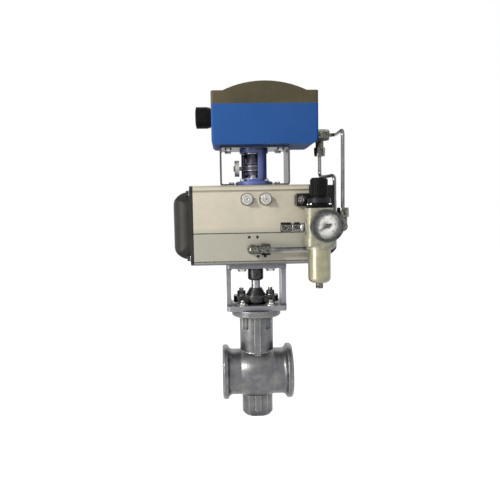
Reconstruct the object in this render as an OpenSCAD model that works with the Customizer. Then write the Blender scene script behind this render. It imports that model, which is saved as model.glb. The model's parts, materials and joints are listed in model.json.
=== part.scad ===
// Eccentric rotary control valve with rack-and-pinion actuator, positioner and filter regulator.
// Origin: centre of the inlet gasket face, on the pipe axis. +X is the flow, -Y the front, +Z up.

/* [Valve body] */
// Distance between the two gasket faces
face_to_face = 124; // [118:1:132]
// Diameter of the end rims
rim_d = 97; // [94:1:104]
// Straight width of an end rim
rim_w = 10; // [6:0.5:12]
// Diameter of the barrel between the rims
barrel_d = 81; // [80:1:86]
// Diameter of the round belly that houses the plug
belly_d = 92; // [91:1:100]
// Width of the belly along the pipe
belly_w = 58; // [54:1:62]
// Diameter of the pipe bore
pipe_bore = 50; // [44:1:50]
// Sideways distance from the pipe axis to the plug shaft, which lifts the plug off its seat
shaft_offset = 4; // [3:0.5:5]
// Diameter of the neck
neck_d = 60; // [56:1:64]
// Width of the ribs down the neck
neck_rib_w = 10; // [6:1:14]
// Height of the ribs off the neck
neck_rib_h = 3; // [2:0.5:5]
// Diameter of the round flange on the neck
neck_flange_d = 88; // [86:1:92]
// Thickness of that flange
neck_flange_t = 12; // [10:1:16]
// Height of the flange face above the pipe axis
neck_h = 115; // [110:1:124]
// Diameter of the lower boss
boss_d = 55; // [52:1:60]
// Depth of the lower boss under the pipe axis
boss_h = 78; // [76:1:90]
// Width of the boss over its front and back flats
boss_flat = 44; // [40:1:52]

/* [Valve trim] */
// Diameter of the ball that the sealing cap belongs to
plug_d = 60; // [58:0.5:62]
// Height of the flow window between the arms of the plug
plug_window = 44; // [40:1:46]
// Distance from the shaft to the flat back of the cap
cap_back = 14; // [12:0.5:16]
// Wall between the plug chamber and the outside of the belly
belly_wall = 9.5; // [8:0.5:10]
// Outer diameter of the two plug hubs
hub_d = 28; // [26:1:30]
// Bore of the seat ring
seat_bore = 41; // [38:0.5:42]
// Outer diameter of the spigot of the seat ring
seat_spigot_d = 52; // [50:0.5:54]
// Outer diameter of the seat flange and of its retainer
seat_flange_d = 60; // [58:0.5:64]
// Thickness of the seat flange
seat_flange_t = 6; // [4:0.5:8]
// Length of the spigot of the seat ring
seat_spigot_l = 13.6; // [12:0.2:15]
// Width of the conical seat land, measured along the radius
seat_land = 2; // [1.5:0.1:3]
// Depth of the retainer face inside the gasket face
retainer_recess = 3; // [2:0.5:6]
// Diameter of the plug shaft
shaft_d = 16; // [14:0.5:18]
// Flat-to-flat size of the square drive in the plug
plug_square = 11; // [9:0.5:12]
// Outer diameter of the upper guide bush
bush_d = 22; // [21:0.5:24]
// Length of the upper guide bush
bush_l = 35; // [30:1:38]
// Bore of the packing box
box_d = 28; // [26:0.5:30]
// Height of one packing ring
ring_h = 6; // [5:0.5:7]
// Number of packing rings
ring_count = 5; // [3:1:5]
// Diameter of the pivot pin under the plug
pivot_d = 14; // [12:0.5:15]
// Diameter of the shoulder of the pivot pin
pivot_shoulder_d = 22; // [21:0.5:24]
// Outer diameter of the bush in the lower hub
hub_bush_d = 20; // [18:0.5:21]
// Diameter of the screwed plug that closes the lower boss
bottom_plug_d = 34; // [30:1:38]
// Height of that screwed plug
bottom_plug_h = 20; // [16:1:22]

/* [Gland] */
// Distance from the shaft to a gland stud
stud_x = 26; // [25:0.5:28]
// Diameter of the gland studs
stud_d = 8; // [6:0.5:8]
// Height of the gland flange above the yoke base
gland_rise = 4; // [3:0.5:6]
// Thickness of the gland flange
gland_flange_t = 11; // [9:0.5:13]
// Depth of the gland flange front to back
gland_flange_w = 38; // [34:1:42]
// Diameter of the cone at its foot
cone_d = 36; // [32:1:38]
// Height of the cone above the gland flange
cone_h = 13; // [10:1:15]

/* [Yoke] */
// Width of the yoke over its legs
yoke_w = 105; // [100:1:112]
// Depth of the yoke plates
yoke_depth = 69; // [66:1:76]
// Height of the yoke
yoke_h = 84; // [80:1:90]
// Thickness of the yoke plates
yoke_plate_t = 9; // [8:0.5:11]
// Thickness of the yoke legs
yoke_leg_t = 8; // [6:0.5:10]
// Depth of the legs at their waist
yoke_waist = 46; // [36:1:56]
// Pitch circle of the four bolts that hold the yoke at each end
flange_pcd = 70; // [68:0.5:72]
// Diameter of those bolts
bolt_d = 8; // [6:0.5:8]
// Bore in the middle of the yoke plates
yoke_bore = 40; // [38:1:44]

/* [Stem coupling] */
// Diameter of the coupling between the valve shaft and the actuator
coupling_d = 28; // [26:1:32]
// Height of its round part under the actuator
coupling_h = 33; // [30:1:36]
// Depth of its socket for the valve shaft
coupling_socket = 20; // [16:1:22]
// Flat-to-flat size of the square drive in the pinion
drive_square = 17; // [14:1:19]
// Length of that square
drive_square_l = 18; // [14:1:20]

/* [Actuator] */
// Length of the extruded cylinder body
cylinder_l = 210.4; // [206:0.1:220]
// Height of the cylinder body
cylinder_h = 134; // [132:1:140]
// Depth of the cylinder body
cylinder_w = 124; // [122:1:130]
// How far the long sides curve in towards top and bottom
side_crown = 2.4; // [1:0.2:4]
// Radius of the long edges of the body
body_edge_r = 9; // [6:1:11]
// Bore of the cylinder
cylinder_bore = 100; // [98:0.5:101]
// Depth of the fine grooves along the sides
groove_depth = 2; // [1:0.1:2.4]
// Height of the upper groove's opening
groove_top_w = 3.2; // [2:0.2:4]
// Height of the other grooves' openings
groove_w = 1.8; // [1.2:0.2:2.4]
// Height of the upper groove above the cylinder axis
groove_top = 57; // [54:0.5:58]
// Height of the middle groove under the cylinder axis
groove_middle = 13; // [10:0.5:16]
// Height of the lower groove under the cylinder axis
groove_bottom = 60.5; // [58:0.5:62]
// Thickness of the flange of an end cap
cap_flange_t = 6; // [5:0.5:8]
// Height of the dome of an end cap, over its flange
cap_dome_h = 28.6; // [28:0.2:32]
// Width of the dome across its flats
cap_dome_w = 114; // [112:1:118]
// Radius of the outer edge of the dome
cap_edge_r = 25; // [20:1:28]
// Radius of the hollow round each cap screw
cap_scallop_r = 15; // [12:1:16]
// Diameter of the spring room inside the cap
cap_room_d = 92; // [88:1:94]
// Wall at the end of the cap
cap_wall = 6.6; // [5:0.2:8]
// Distance from the axis to the cap screws, sideways
cap_screw_y = 50; // [49:0.5:52]
// Distance from the axis to the cap screws, up and down
cap_screw_z = 54; // [52:0.5:55]
// Diameter of the cap screws
cap_screw_d = 6; // [5:0.5:8]

/* [Rack and pinion] */
// Module of the teeth
tooth_module = 2.5; // [2.4:0.05:2.6]
// Number of pinion teeth
pinion_teeth = 18; // [18:2:20]
// Width of the pinion teeth
pinion_face = 34; // [30:1:36]
// Width of the racks
rack_w = 31; // [26:1:32]
// Play between the flanks of the teeth, at the pitch line
backlash = 0.3; // [0.2:0.05:0.5]
// Distance from the pinion axis to the inner face of a piston, at rest
piston_in = 44; // [43:0.5:46]
// Thickness of a piston
piston_t = 20; // [18:0.5:22]
// Reach of a rack past the pinion axis, at rest
rack_reach = 40; // [39:0.5:40.5]
// Diameter of the lower pinion journal
lower_journal_d = 52; // [51:0.5:53]
// Diameter of the upper pinion journal
upper_journal_d = 28; // [24:1:30]
// Diameter of the pinion between its journals
pinion_core_d = 36; // [34:0.5:37]
// Wall of the pinion bushes
bush_wall = 2; // [1.5:0.5:2.5]
// Wall of the body above the cam pocket
cam_roof = 16.5; // [15:0.5:18]
// Radius of the stop cam
cam_r = 24; // [23:0.5:24.5]
// Height of the stop cam
cam_h = 10; // [8:1:10]
// Turn from closed to open, in degrees
open_turn = 75; // [60:5:75]
// Angle at which a stop face meets its screw, in degrees under the side
stop_angle = 40; // [38:1:42]
// Height of the stop screws above the cylinder axis
stop_z = 43; // [42.5:0.5:43]
// Sideways distance from the axis to a stop screw
stop_x = 15.5; // [15:0.5:16.5]
// Diameter of the stop screws
stop_d = 8; // [7:0.5:9]
// Reach of the stop screws out of the body
stop_out = 17; // [15:1:22]
// Diameter of the shaft end above the actuator
stub_d = 20; // [18:1:22]
// Height of that shaft end
stub_h = 30; // [28:1:31]
// Width and depth of the slot across the shaft end
stub_slot = 4; // [3:0.5:5]

/* [Springs] */
// Outer diameter of the return springs
spring_d = 70; // [66:1:72]
// Diameter of the spring wire
spring_wire = 7; // [6:0.5:7.5]
// Turns of a return spring
spring_turns = 5; // [4:0.5:5.5]
// Depth of the spring seat in the piston
spring_seat = 8; // [6:0.5:10]

/* [Positioner mount] */
// Width of the bracket over its legs
bracket_w = 119.6; // [116:0.2:124]
// Depth of the bracket
bracket_depth = 71; // [66:1:78]
// Height of the bracket
bracket_h = 67; // [64:1:70]
// Thickness of the bracket sheet
bracket_t = 3; // [2.5:0.5:4]
// Length of the feet of the bracket
foot_l = 25; // [24:0.5:26]
// Spacing of the bracket screws along the actuator
pattern_x = 80; // [78:1:84]
// Spacing of the bracket screws across the actuator
pattern_y = 30; // [28:1:36]
// Spacing of the positioner screws along the bracket
housing_screws_x = 90; // [84:1:94]
// Spacing of the positioner screws across the bracket
housing_screws_y = 50; // [44:1:54]
// Outer diameter of the lantern
lantern_d = 50; // [48:1:52]
// Wall of the lantern
lantern_wall = 3.5; // [2.5:0.5:4]
// Diameter of the foot of the lantern
lantern_foot_d = 66; // [64:1:67]
// Thickness of that foot
lantern_foot_t = 8; // [6:0.5:10]
// Lower edge of the lantern windows above the actuator
window_low = 13; // [12:1:17]
// Height of the lantern windows
window_h = 44; // [38:1:46]
// Diameter of the feedback coupling
feedback_d = 30; // [28:1:31]
// Diameter of its two discs
feedback_disc_d = 38; // [36:0.5:39]
// Diameter of the positioner shaft
feedback_shaft_d = 12; // [10:0.5:13]
// Diameter of the pointer disc
pointer_d = 28; // [24:1:29]
// Thickness of the pointer disc
pointer_t = 8; // [6:0.5:8.5]
// Distance from the shaft to the outer face of the pointer disc
pointer_reach = 34; // [33.5:0.5:38]

/* [Positioner] */
// Width of the positioner housing
positioner_w = 177.4; // [174:0.2:182]
// Distance from the shaft to its left side
positioner_left = 72.4; // [70:0.2:75]
// Depth of the positioner housing
positioner_depth = 96; // [92:1:110]
// Distance from the shaft to its front
positioner_front = 60; // [56:1:62]
// Height of the housing up to the cover
housing_h = 65.7; // [62:0.1:70]
// Height of the cover up to its shoulders
cover_h = 21; // [18:0.5:24]
// Rise of the arched top over the shoulders
arch_rise = 15.3; // [12:0.1:18]
// Width of the arch
arch_w = 138.4; // [130:0.2:142]
// Wall of the housing and cover
housing_wall = 4; // [3:0.5:5]
// Radius of the lower left edge
corner_left_r = 7; // [6:1:12]
// Radius of the lower right edge
corner_right_r = 13; // [11:1:16]
// Radius of the upright edges
corner_plan_r = 4; // [3:1:8]
// Radius of the cover's shoulders
cover_corner_r = 2.5; // [2:0.5:8]
// Diameter of the conduit plug on the left
conduit_d = 35.5; // [32:0.5:38]
// Reach of the conduit plug
conduit_l = 28; // [24:1:32]
// Height of the conduit plug above the underside
conduit_z = 52.8; // [46:0.2:53.6]

/* [Air lines] */
// Diameter of the steel air tubes
tube_d = 6; // [5:0.5:6.5]
// Radius of the tube bends, to the middle of the tube
tube_bend = 9; // [8:0.5:10]
// Diameter of an elbow leg
elbow_d = 16; // [15:0.5:17]
// Flat-to-flat size of the tube nuts
nut_af = 17; // [16:0.5:17]
// Length of the neck between an elbow and its nut
union_neck = 7; // [5:0.5:8]
// Length of the tube nuts
nut_l = 15; // [13:0.5:17]
// Sideways place of the actuator air port, from the shaft
port_x = -9; // [-11:0.5:-7]
// Height of the actuator air port above the actuator underside
port_z = 27.3; // [27:0.1:31]
// Distance from the actuator face to the tube in front of it
port_reach = 14; // [12:0.5:16]
// Place of the positioner outlet front to back, from the shaft
outlet_y = -20; // [-22:0.5:-16]
// Place of the positioner inlet front to back, from the shaft
supply_y = -45; // [-47:0.5:-43]
// Height of the positioner outlet above its underside
outlet_z = 12; // [11.5:0.5:14]
// Height of the positioner inlet above its underside
supply_z = 15; // [14:0.5:20]

/* [Filter regulator] */
// Place of the regulator axis along the pipe, from the shaft
regulator_x = 96.6; // [94:0.2:98]
// Place of the regulator axis in front of the shaft
regulator_y = 105; // [104:0.5:108]
// Width of the regulator body
regulator_w = 43; // [41:0.5:45]
// Depth of the regulator body
regulator_depth = 40; // [38:0.5:42]
// Height of the regulator body
regulator_h = 60; // [56:1:62]
// Height of the underside of the regulator body above the pipe axis
regulator_base = 233; // [230:1:236]
// Height of the ports above the underside of the body
regulator_port_z = 30; // [27:0.5:32]
// Diameter of the bonnet
bonnet_d = 30.4; // [29:0.2:32]
// Height of the bonnet
bonnet_h = 19; // [17:0.5:20]
// Diameter of the knob
knob_d = 28; // [26:0.5:29]
// Height of the knob
knob_h = 28; // [26:0.5:30]
// Diameter of the adjusting screw
adjust_d = 10; // [8:0.5:11]
// Flat-to-flat size of the square that turns the adjusting screw
adjust_square = 7; // [5:0.5:7]
// Lift that unlocks the knob
knob_lift = 3; // [2:0.5:3]
// Diameter of the bowl
bowl_d = 36; // [34:0.5:38]
// Height of the bowl under the body
bowl_h = 59; // [54:1:62]
// Wall of the bowl
bowl_wall = 2.5; // [2:0.5:3]
// Diameter of the gauge
gauge_d = 50; // [46:0.5:52]
// Width of the gauge's front rim
gauge_rim = 4.5; // [2:0.5:5]
// Depth of the gauge case
gauge_t = 19; // [17:0.5:21]
// Sideways place of the gauge from the regulator axis
gauge_x = 5; // [3:0.5:6]
// Angle of the needle at rest, anticlockwise from the right
needle_angle = 207; // [180:1:225]
// Flat-to-flat size of the inlet union
inlet_af = 14; // [13:0.5:17]
// Diameter of the air tube that the inlet takes
inlet_tube_d = 8; // [6:0.5:8]

/* [Fits] */
// Radial clearance of a running fit
running = 0.05; // [0.03:0.01:0.08]
// Radial clearance of a fixed fit
seated = 0.02; // [0.02:0.01:0.04]
// Gap between faces of parts that move past each other
face_gap = 0.3; // [0.3:0.05:0.5]

/* [Hidden] */
$fn = 48;

stem_x = face_to_face / 2;
stem_y = shaft_offset;
chamber_r = belly_d / 2 - belly_wall;
hub_end = chamber_r - 4.5;
seat_touch = plug_d / 2 + face_gap;
seat_face_x = stem_x - (seat_touch * sqrt(2) - seat_bore / 2 - seat_land);
seat_shoulder_x = seat_face_x - seat_spigot_l;
seat_back_x = seat_shoulder_x - seat_flange_t;
bush_z = sqrt(pow(chamber_r, 2) - pow(bush_d / 2, 2));
box_floor = neck_h - 7 - ring_count * ring_h;
pivot_z = -sqrt(pow(chamber_r, 2) - pow(pivot_shoulder_d / 2, 2));
plug_seat_z = -boss_h + bottom_plug_h;
bolt_xy = flange_pcd / 2 * cos(45);
bolt_af = bolt_d * 1.625;
bolt_head_h = bolt_d * 0.66;
yoke_top = neck_h + yoke_h;
base_top = neck_h + yoke_plate_t;
gland_z = base_top + gland_rise;
gland_top = gland_z + gland_flange_t;
sleeve_d = box_d - 4;
axis_z = yoke_top + cylinder_h / 2;
cylinder_top = yoke_top + cylinder_h;
coupling_z = yoke_top - coupling_h;
pitch_r = tooth_module * pinion_teeth / 2;
tooth_pitch = PI * tooth_module;
pressure_angle = 20;
base_r = pitch_r * cos(pressure_angle);
tip_r = pitch_r + tooth_module;
root_r = pitch_r - 1.25 * tooth_module;
rack_root_y = pitch_r + 1.25 * tooth_module;
wall_low = (cylinder_h - cylinder_bore) / 2;
cam_z = stop_z - cam_h / 2;
cam_pocket_top = cylinder_h / 2 - cam_roof;
stop_tip = cam_r * sin(stop_angle) + face_gap;
spring_in = piston_in + piston_t - spring_seat;
cap_end_x = cylinder_l / 2 + cap_flange_t + cap_dome_h;
spring_out = cap_end_x - cap_wall;
bracket_top = cylinder_top + bracket_h;
cover_z = bracket_top + housing_h;
positioner_x = positioner_w / 2 - positioner_left;
positioner_y = positioner_depth / 2 - positioner_front;
arch_r = (pow(arch_w / 2, 2) + pow(arch_rise, 2)) / (2 * arch_rise);
positioner_right = positioner_w - positioner_left;
window_z = cylinder_top + window_low;
lantern_screw_r = (lantern_d + lantern_foot_d) / 4 + 0.4;
pointer_z = window_z + window_h / 2 - 4;
feedback_z = cylinder_top + stub_h - 11;
feedback_h = bracket_top - bracket_t - feedback_z - 6;
bonnet_z = regulator_base + regulator_h;
knob_z = bonnet_z + bonnet_h;
regulator_axis_z = regulator_base + regulator_port_z;
gauge_z = regulator_axis_z + 3;
gauge_back = regulator_depth / 2 + 8;
tube_y = -cylinder_w / 2 - port_reach;
spigot_d = elbow_d - 4;
union_d = elbow_d - 2;
breather_x = port_x + 24;
signal_x = positioner_right + elbow_d / 2 + 0.5;
signal_low_x = 127.5;
valve_pad_holes = [[-12.8, -19.8], [0.9, -19.8], [1.6, -51.9], [13.2, -51.9]];
union_reach = elbow_d / 2 + union_neck;
signal_jog_z = 346;
supply_x = max(regulator_x + regulator_w / 2 + 16.5, positioner_right + tube_bend + 15);

function arc(c, r, a0, a1, n = 8) =
    [for (i = [0:n]) let (a = a0 + (a1 - a0) * i / n) [c[0] + r * cos(a), c[1] + r * sin(a)]];
function flipped(p) = [for (i = [len(p) - 1:-1:0]) [-p[i][0], p[i][1]]];
function sector(r, a0, a1, n = 10) = concat([[0, 0]], arc([0, 0], r, a0, a1, n));
function involute(a) = tan(a) * 180 / PI - a;
function flank(r) = 90 / pinion_teeth - backlash * 45 / (PI * pitch_r)
    + involute(pressure_angle) - involute(acos(base_r / r));
function side_at(v) = cylinder_w / 2 - side_crown * pow(2 * v / cylinder_h, 2);

module at_stem(z = 0) { translate([stem_x, stem_y, z]) children(); }
module quad(dx, dy) {
    for (sx = [-1, 1], sy = [-1, 1]) translate([sx * dx, sy * dy, 0]) children();
}
module hex_bar(af, h) { cylinder(d = af / cos(30), h = h, $fn = 6); }
module square_bar(af, h) { translate([-af / 2, -af / 2, 0]) cube([af, af, h]); }
module along_x() { rotate([0, 90, 0]) children(); }
module to_front() { rotate([90, 0, 0]) children(); }
module extrude_x(l) { rotate([90, 0, 90]) linear_extrude(l, center = true) children(); }
module extrude_y(l) { rotate([90, 0, 0]) linear_extrude(l, center = true) children(); }
module rounded(w, h, r) {
    square([w - 2 * r, h], center = true);
    square([w, h - 2 * r], center = true);
    quad(w / 2 - r, h / 2 - r) circle(r);
}
module ring(od, id, h) {
    difference() {
        cylinder(d = od, h = h);
        translate([0, 0, -1]) cylinder(d = id, h = h + 2);
    }
}
module hex_bolt(d, l, af, head) {
    translate([0, 0, -l]) cylinder(d = d, h = l);
    intersection() {
        hex_bar(af, head);
        translate([0, 0, -1]) cylinder(d1 = af * 1.5, d2 = af * 1.03, h = head + 1);
    }
}

// Valve body: a short barrel with end rims, a belly, a ribbed neck with its flange, a lower boss
module barrel_outline() {
    slope = rim_d / 2 - barrel_d / 2;
    half = concat([[0, 0], [rim_d / 2 - 2, 0]],
        arc([rim_d / 2 - 2.5, 2.5], 2.5, 0, 0, 1),
        arc([rim_d / 2 - 2.5, rim_w - 2.5], 2.5, 0, 60, 4),
        arc([barrel_d / 2 + slope, rim_w + slope], slope, -130, -180, 5));
    far = [for (i = [len(half) - 1:-1:0]) [half[i][0], face_to_face - half[i][1]]];
    rise = (belly_d - barrel_d) / 2;
    bulge_r = (pow(belly_w / 2, 2) + pow(rise, 2)) / (2 * rise);
    reach = asin(belly_w / 2 / bulge_r);
    bulge = arc([belly_d / 2 - bulge_r, stem_x], bulge_r, -reach, reach, 12);
    polygon(concat(half, bulge, far));
}
module valve_body() {
    color("slategray") difference() {
        union() {
            along_x() rotate_extrude() barrel_outline();
            at_stem() sphere(d = belly_d);
            at_stem() neck();
            at_stem() boss();
        }
        at_stem() sphere(r = chamber_r);
        along_x() translate([0, 0, -1]) cylinder(d = seat_flange_d + 2 * seated,
            h = seat_shoulder_x + 1);
        along_x() cylinder(d = seat_spigot_d + 2 * seated, h = stem_x);
        translate([stem_x, 0, 0]) along_x() cylinder(d = pipe_bore, h = stem_x + 1);
        at_stem() neck_bores();
        at_stem() boss_bores();
    }
}
module neck() {
    under = neck_h - neck_flange_t;
    difference() {
        union() {
            cylinder(d = neck_d, h = neck_h);
            translate([-neck_rib_w / 2, -neck_d / 2 - neck_rib_h, 0])
                cube([neck_rib_w, neck_d + 2 * neck_rib_h, under]);
        }
        for (a = [45:90:315]) rotate(a) translate([flange_pcd / 2, 0, under - 23])
            cylinder(d = bolt_af + 6, h = 23);
    }
    translate([0, 0, under]) cylinder(d1 = neck_flange_d - 4, d2 = neck_flange_d, h = 2);
    translate([0, 0, under + 2]) cylinder(d = neck_flange_d, h = neck_flange_t - 2);
}
module neck_bores() {
    cylinder(d = bush_d + 2 * seated, h = bush_z + bush_l);
    cylinder(d = shaft_d + 1, h = neck_h);
    translate([0, 0, box_floor]) cylinder(d = box_d, h = neck_h);
    for (a = [45:90:315]) rotate(a) translate([flange_pcd / 2, 0, neck_h - neck_flange_t - 1])
        cylinder(d = bolt_d + 2 * seated, h = neck_flange_t + 2);
    for (s = [-1, 1]) translate([s * stud_x, 0, neck_h - 20])
        cylinder(d = stud_d + 2 * seated, h = 21);
}
module boss() {
    intersection() {
        union() {
            translate([0, 0, -boss_h]) cylinder(d1 = boss_d - 7, d2 = boss_d, h = 4);
            translate([0, 0, 4 - boss_h]) cylinder(d = boss_d, h = boss_h - 4);
        }
        translate([-boss_d, -boss_flat / 2, -boss_h - 1]) cube([2 * boss_d, boss_flat, boss_h + 1]);
    }
    translate([-neck_rib_w / 2, -boss_flat / 2 - neck_rib_h, 10 - boss_h])
        cube([neck_rib_w, boss_flat / 2, boss_h - 10]);
}
module boss_bores() {
    translate([0, 0, plug_seat_z]) cylinder(d = pivot_shoulder_d + 2 * seated, h = -plug_seat_z);
    translate([0, 0, -boss_h - 1]) cylinder(d = bottom_plug_d + 2 * seated, h = bottom_plug_h + 1);
}

// Seat ring with a flange, a spigot and a conical land that meets the ball
module seat_ring() {
    flange_r = seat_flange_d / 2;
    color("silver") along_x() rotate_extrude() polygon([
        [seat_bore / 2, seat_back_x], [flange_r, seat_back_x], [flange_r, seat_shoulder_x],
        [seat_spigot_d / 2, seat_shoulder_x], [seat_spigot_d / 2, seat_face_x],
        [seat_bore / 2 + seat_land, seat_face_x], [seat_bore / 2, seat_face_x - seat_land]]);
}
// Screwed ring that holds the seat, with a flared mouth and two spanner slots
module seat_retainer() {
    color("gray") difference() {
        along_x() rotate_extrude() polygon([
            [pipe_bore / 2, retainer_recess], [seat_flange_d / 2, retainer_recess],
            [seat_flange_d / 2, seat_back_x], [seat_bore / 2, seat_back_x],
            [seat_bore / 2, seat_back_x - 4]]);
        for (s = [-1, 1]) translate([retainer_recess - 1, s * seat_flange_d / 2 - 3, -3])
            cube([4, 6, 6]);
    }
}
// Plug: a ball cut through by the flow window, so that a cap and two arms with hubs are left
module eccentric_plug() {
    color("lightgray") at_stem() difference() {
        union() {
            difference() {
                translate([0, -shaft_offset, 0]) sphere(d = plug_d);
                translate([-cap_back, -plug_d, -plug_window / 2])
                    cube([2 * plug_d, 2 * plug_d, plug_window]);
            }
            for (s = [0, 1]) mirror([0, 0, s]) translate([0, 0, plug_window / 2])
                cylinder(d = hub_d, h = hub_end - plug_window / 2);
        }
        translate([0, 0, plug_window / 2 - 1]) square_bar(plug_square + 2 * seated, hub_end);
        translate([0, 0, -hub_end - 1]) cylinder(d = hub_bush_d + 2 * seated, h = hub_end);
    }
}
// Valve shaft with a square end in the plug and a key near the top
module plug_shaft() {
    foot = hub_end + 0.5;
    color("gainsboro") at_stem() {
        translate([0, 0, plug_window / 2]) square_bar(plug_square, foot - plug_window / 2);
        translate([0, 0, foot]) cylinder(d = shaft_d, h = coupling_z + coupling_socket - foot);
    }
}
module lower_guide_bush() {
    color("goldenrod") at_stem(-hub_end)
        ring(hub_bush_d, pivot_d + 2 * running, hub_end - plug_window / 2);
}
// Shouldered pin that carries the lower hub
module lower_pivot() {
    color("gainsboro") at_stem() {
        translate([0, 0, plug_seat_z]) cylinder(d = pivot_shoulder_d, h = pivot_z - plug_seat_z - 1.5);
        translate([0, 0, plug_seat_z]) cylinder(d = pivot_d, h = -plug_window / 2 - 1 - plug_seat_z);
    }
}
module bottom_plug() {
    color("gray") at_stem(-boss_h) difference() {
        cylinder(d = bottom_plug_d, h = bottom_plug_h);
        translate([0, 0, -1]) cylinder(d = 14 / cos(30), h = 10, $fn = 6);
    }
}
module upper_guide_bush() {
    color("goldenrod") at_stem(bush_z) ring(bush_d, shaft_d + 2 * running, bush_l);
}
module packing_rings() {
    color("ivory") for (i = [0:ring_count - 1]) at_stem(box_floor + i * ring_h)
        ring(box_d - 2 * seated, shaft_d + 2 * running, ring_h - (i < ring_count - 1 ? 0.05 : 0));
}

// Gland: a follower with a cone, pressed down by an oval flange on two studs
module gland_follower() {
    foot = box_floor + ring_count * ring_h;
    color("dimgray") at_stem() difference() {
        union() {
            translate([0, 0, foot]) cylinder(d = box_d - 2 * running, h = gland_z - foot);
            translate([0, 0, gland_z]) cylinder(d = sleeve_d, h = gland_flange_t);
            translate([0, 0, gland_top]) cylinder(d1 = cone_d, d2 = shaft_d + 6, h = cone_h);
        }
        translate([0, 0, foot - 1]) cylinder(d = shaft_d + 2 * running, h = 60);
    }
}
module gland_flange() {
    color("dimgray") at_stem(gland_z) difference() {
        linear_extrude(gland_flange_t) {
            rounded(2 * stud_x + 28, gland_flange_w - 8, 12);
            circle(d = gland_flange_w + 4);
        }
        translate([0, 0, -1]) cylinder(d = sleeve_d + 2 * seated, h = gland_flange_t + 2);
        for (s = [-1, 1]) translate([s * stud_x, 0, -1]) cylinder(d = stud_d + 1, h = gland_flange_t + 2);
    }
}
module gland_studs() {
    color("silver") for (s = [-1, 1]) at_stem() translate([s * stud_x, 0, 0]) {
        translate([0, 0, neck_h - 20]) cylinder(d = stud_d, h = gland_top + 13 - neck_h + 20);
        translate([0, 0, gland_top]) difference() {
            hex_bar(stud_d * 1.625, 8);
            translate([0, 0, -1]) cylinder(d = stud_d + 2 * seated, h = 10);
        }
    }
}

// Yoke: two plates on two waisted legs, cast as one window frame
module yoke() {
    inner_w = yoke_w - 2 * yoke_leg_t;
    inner_h = yoke_h - 2 * yoke_plate_t;
    color("lightsteelblue") at_stem(neck_h) difference() {
        intersection() {
            translate([0, 0, yoke_h / 2]) extrude_y(yoke_depth) difference() {
                rounded(yoke_w, yoke_h, 2);
                rounded(inner_w, inner_h, 6);
            }
            translate([0, 0, yoke_h / 2]) extrude_x(yoke_w + 2) difference() {
                square([yoke_depth, yoke_h], center = true);
                for (s = [-1, 1]) translate([s * (yoke_waist / 2 + 20), 0])
                    rounded(40, inner_h, 7);
            }
            linear_extrude(yoke_h) rounded(yoke_w, yoke_depth, 7);
        }
        translate([0, 0, -1]) cylinder(d = yoke_bore, h = yoke_h + 2);
        quad(bolt_xy, bolt_xy) translate([0, 0, -1]) cylinder(d = bolt_d + 0.6, h = yoke_h + 2);
        for (s = [-1, 1]) translate([s * stud_x, 0, -1]) cylinder(d = stud_d + 1, h = yoke_plate_t + 2);
    }
}
module yoke_bolts() {
    color("silver") at_stem() quad(bolt_xy, bolt_xy) {
        translate([0, 0, base_top])
            hex_bolt(bolt_d, yoke_plate_t + neck_flange_t - 2, bolt_af, bolt_head_h);
        translate([0, 0, yoke_top - yoke_plate_t]) rotate([180, 0, 0])
            hex_bolt(bolt_d, yoke_plate_t + 10, bolt_af, bolt_head_h);
    }
}
// Coupling: a round body with a rounded foot, a keyed socket below and a square above
module stem_coupling() {
    r = coupling_d / 2;
    color([0.1, 0.1, 0.11]) at_stem(coupling_z) difference() {
        union() {
            rotate_extrude() polygon(concat([[0, 0], [shaft_d / 2 + 1.5, 0]],
                arc([r - 4, 4], 4, -90, 0), [[r, coupling_h - 0.5], [0, coupling_h - 0.5]]));
            translate([0, 0, coupling_h - 1]) square_bar(drive_square, drive_square_l + 1);
        }
        translate([0, 0, -1]) cylinder(d = shaft_d + 2 * seated, h = coupling_socket + 1);
    }
}

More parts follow.
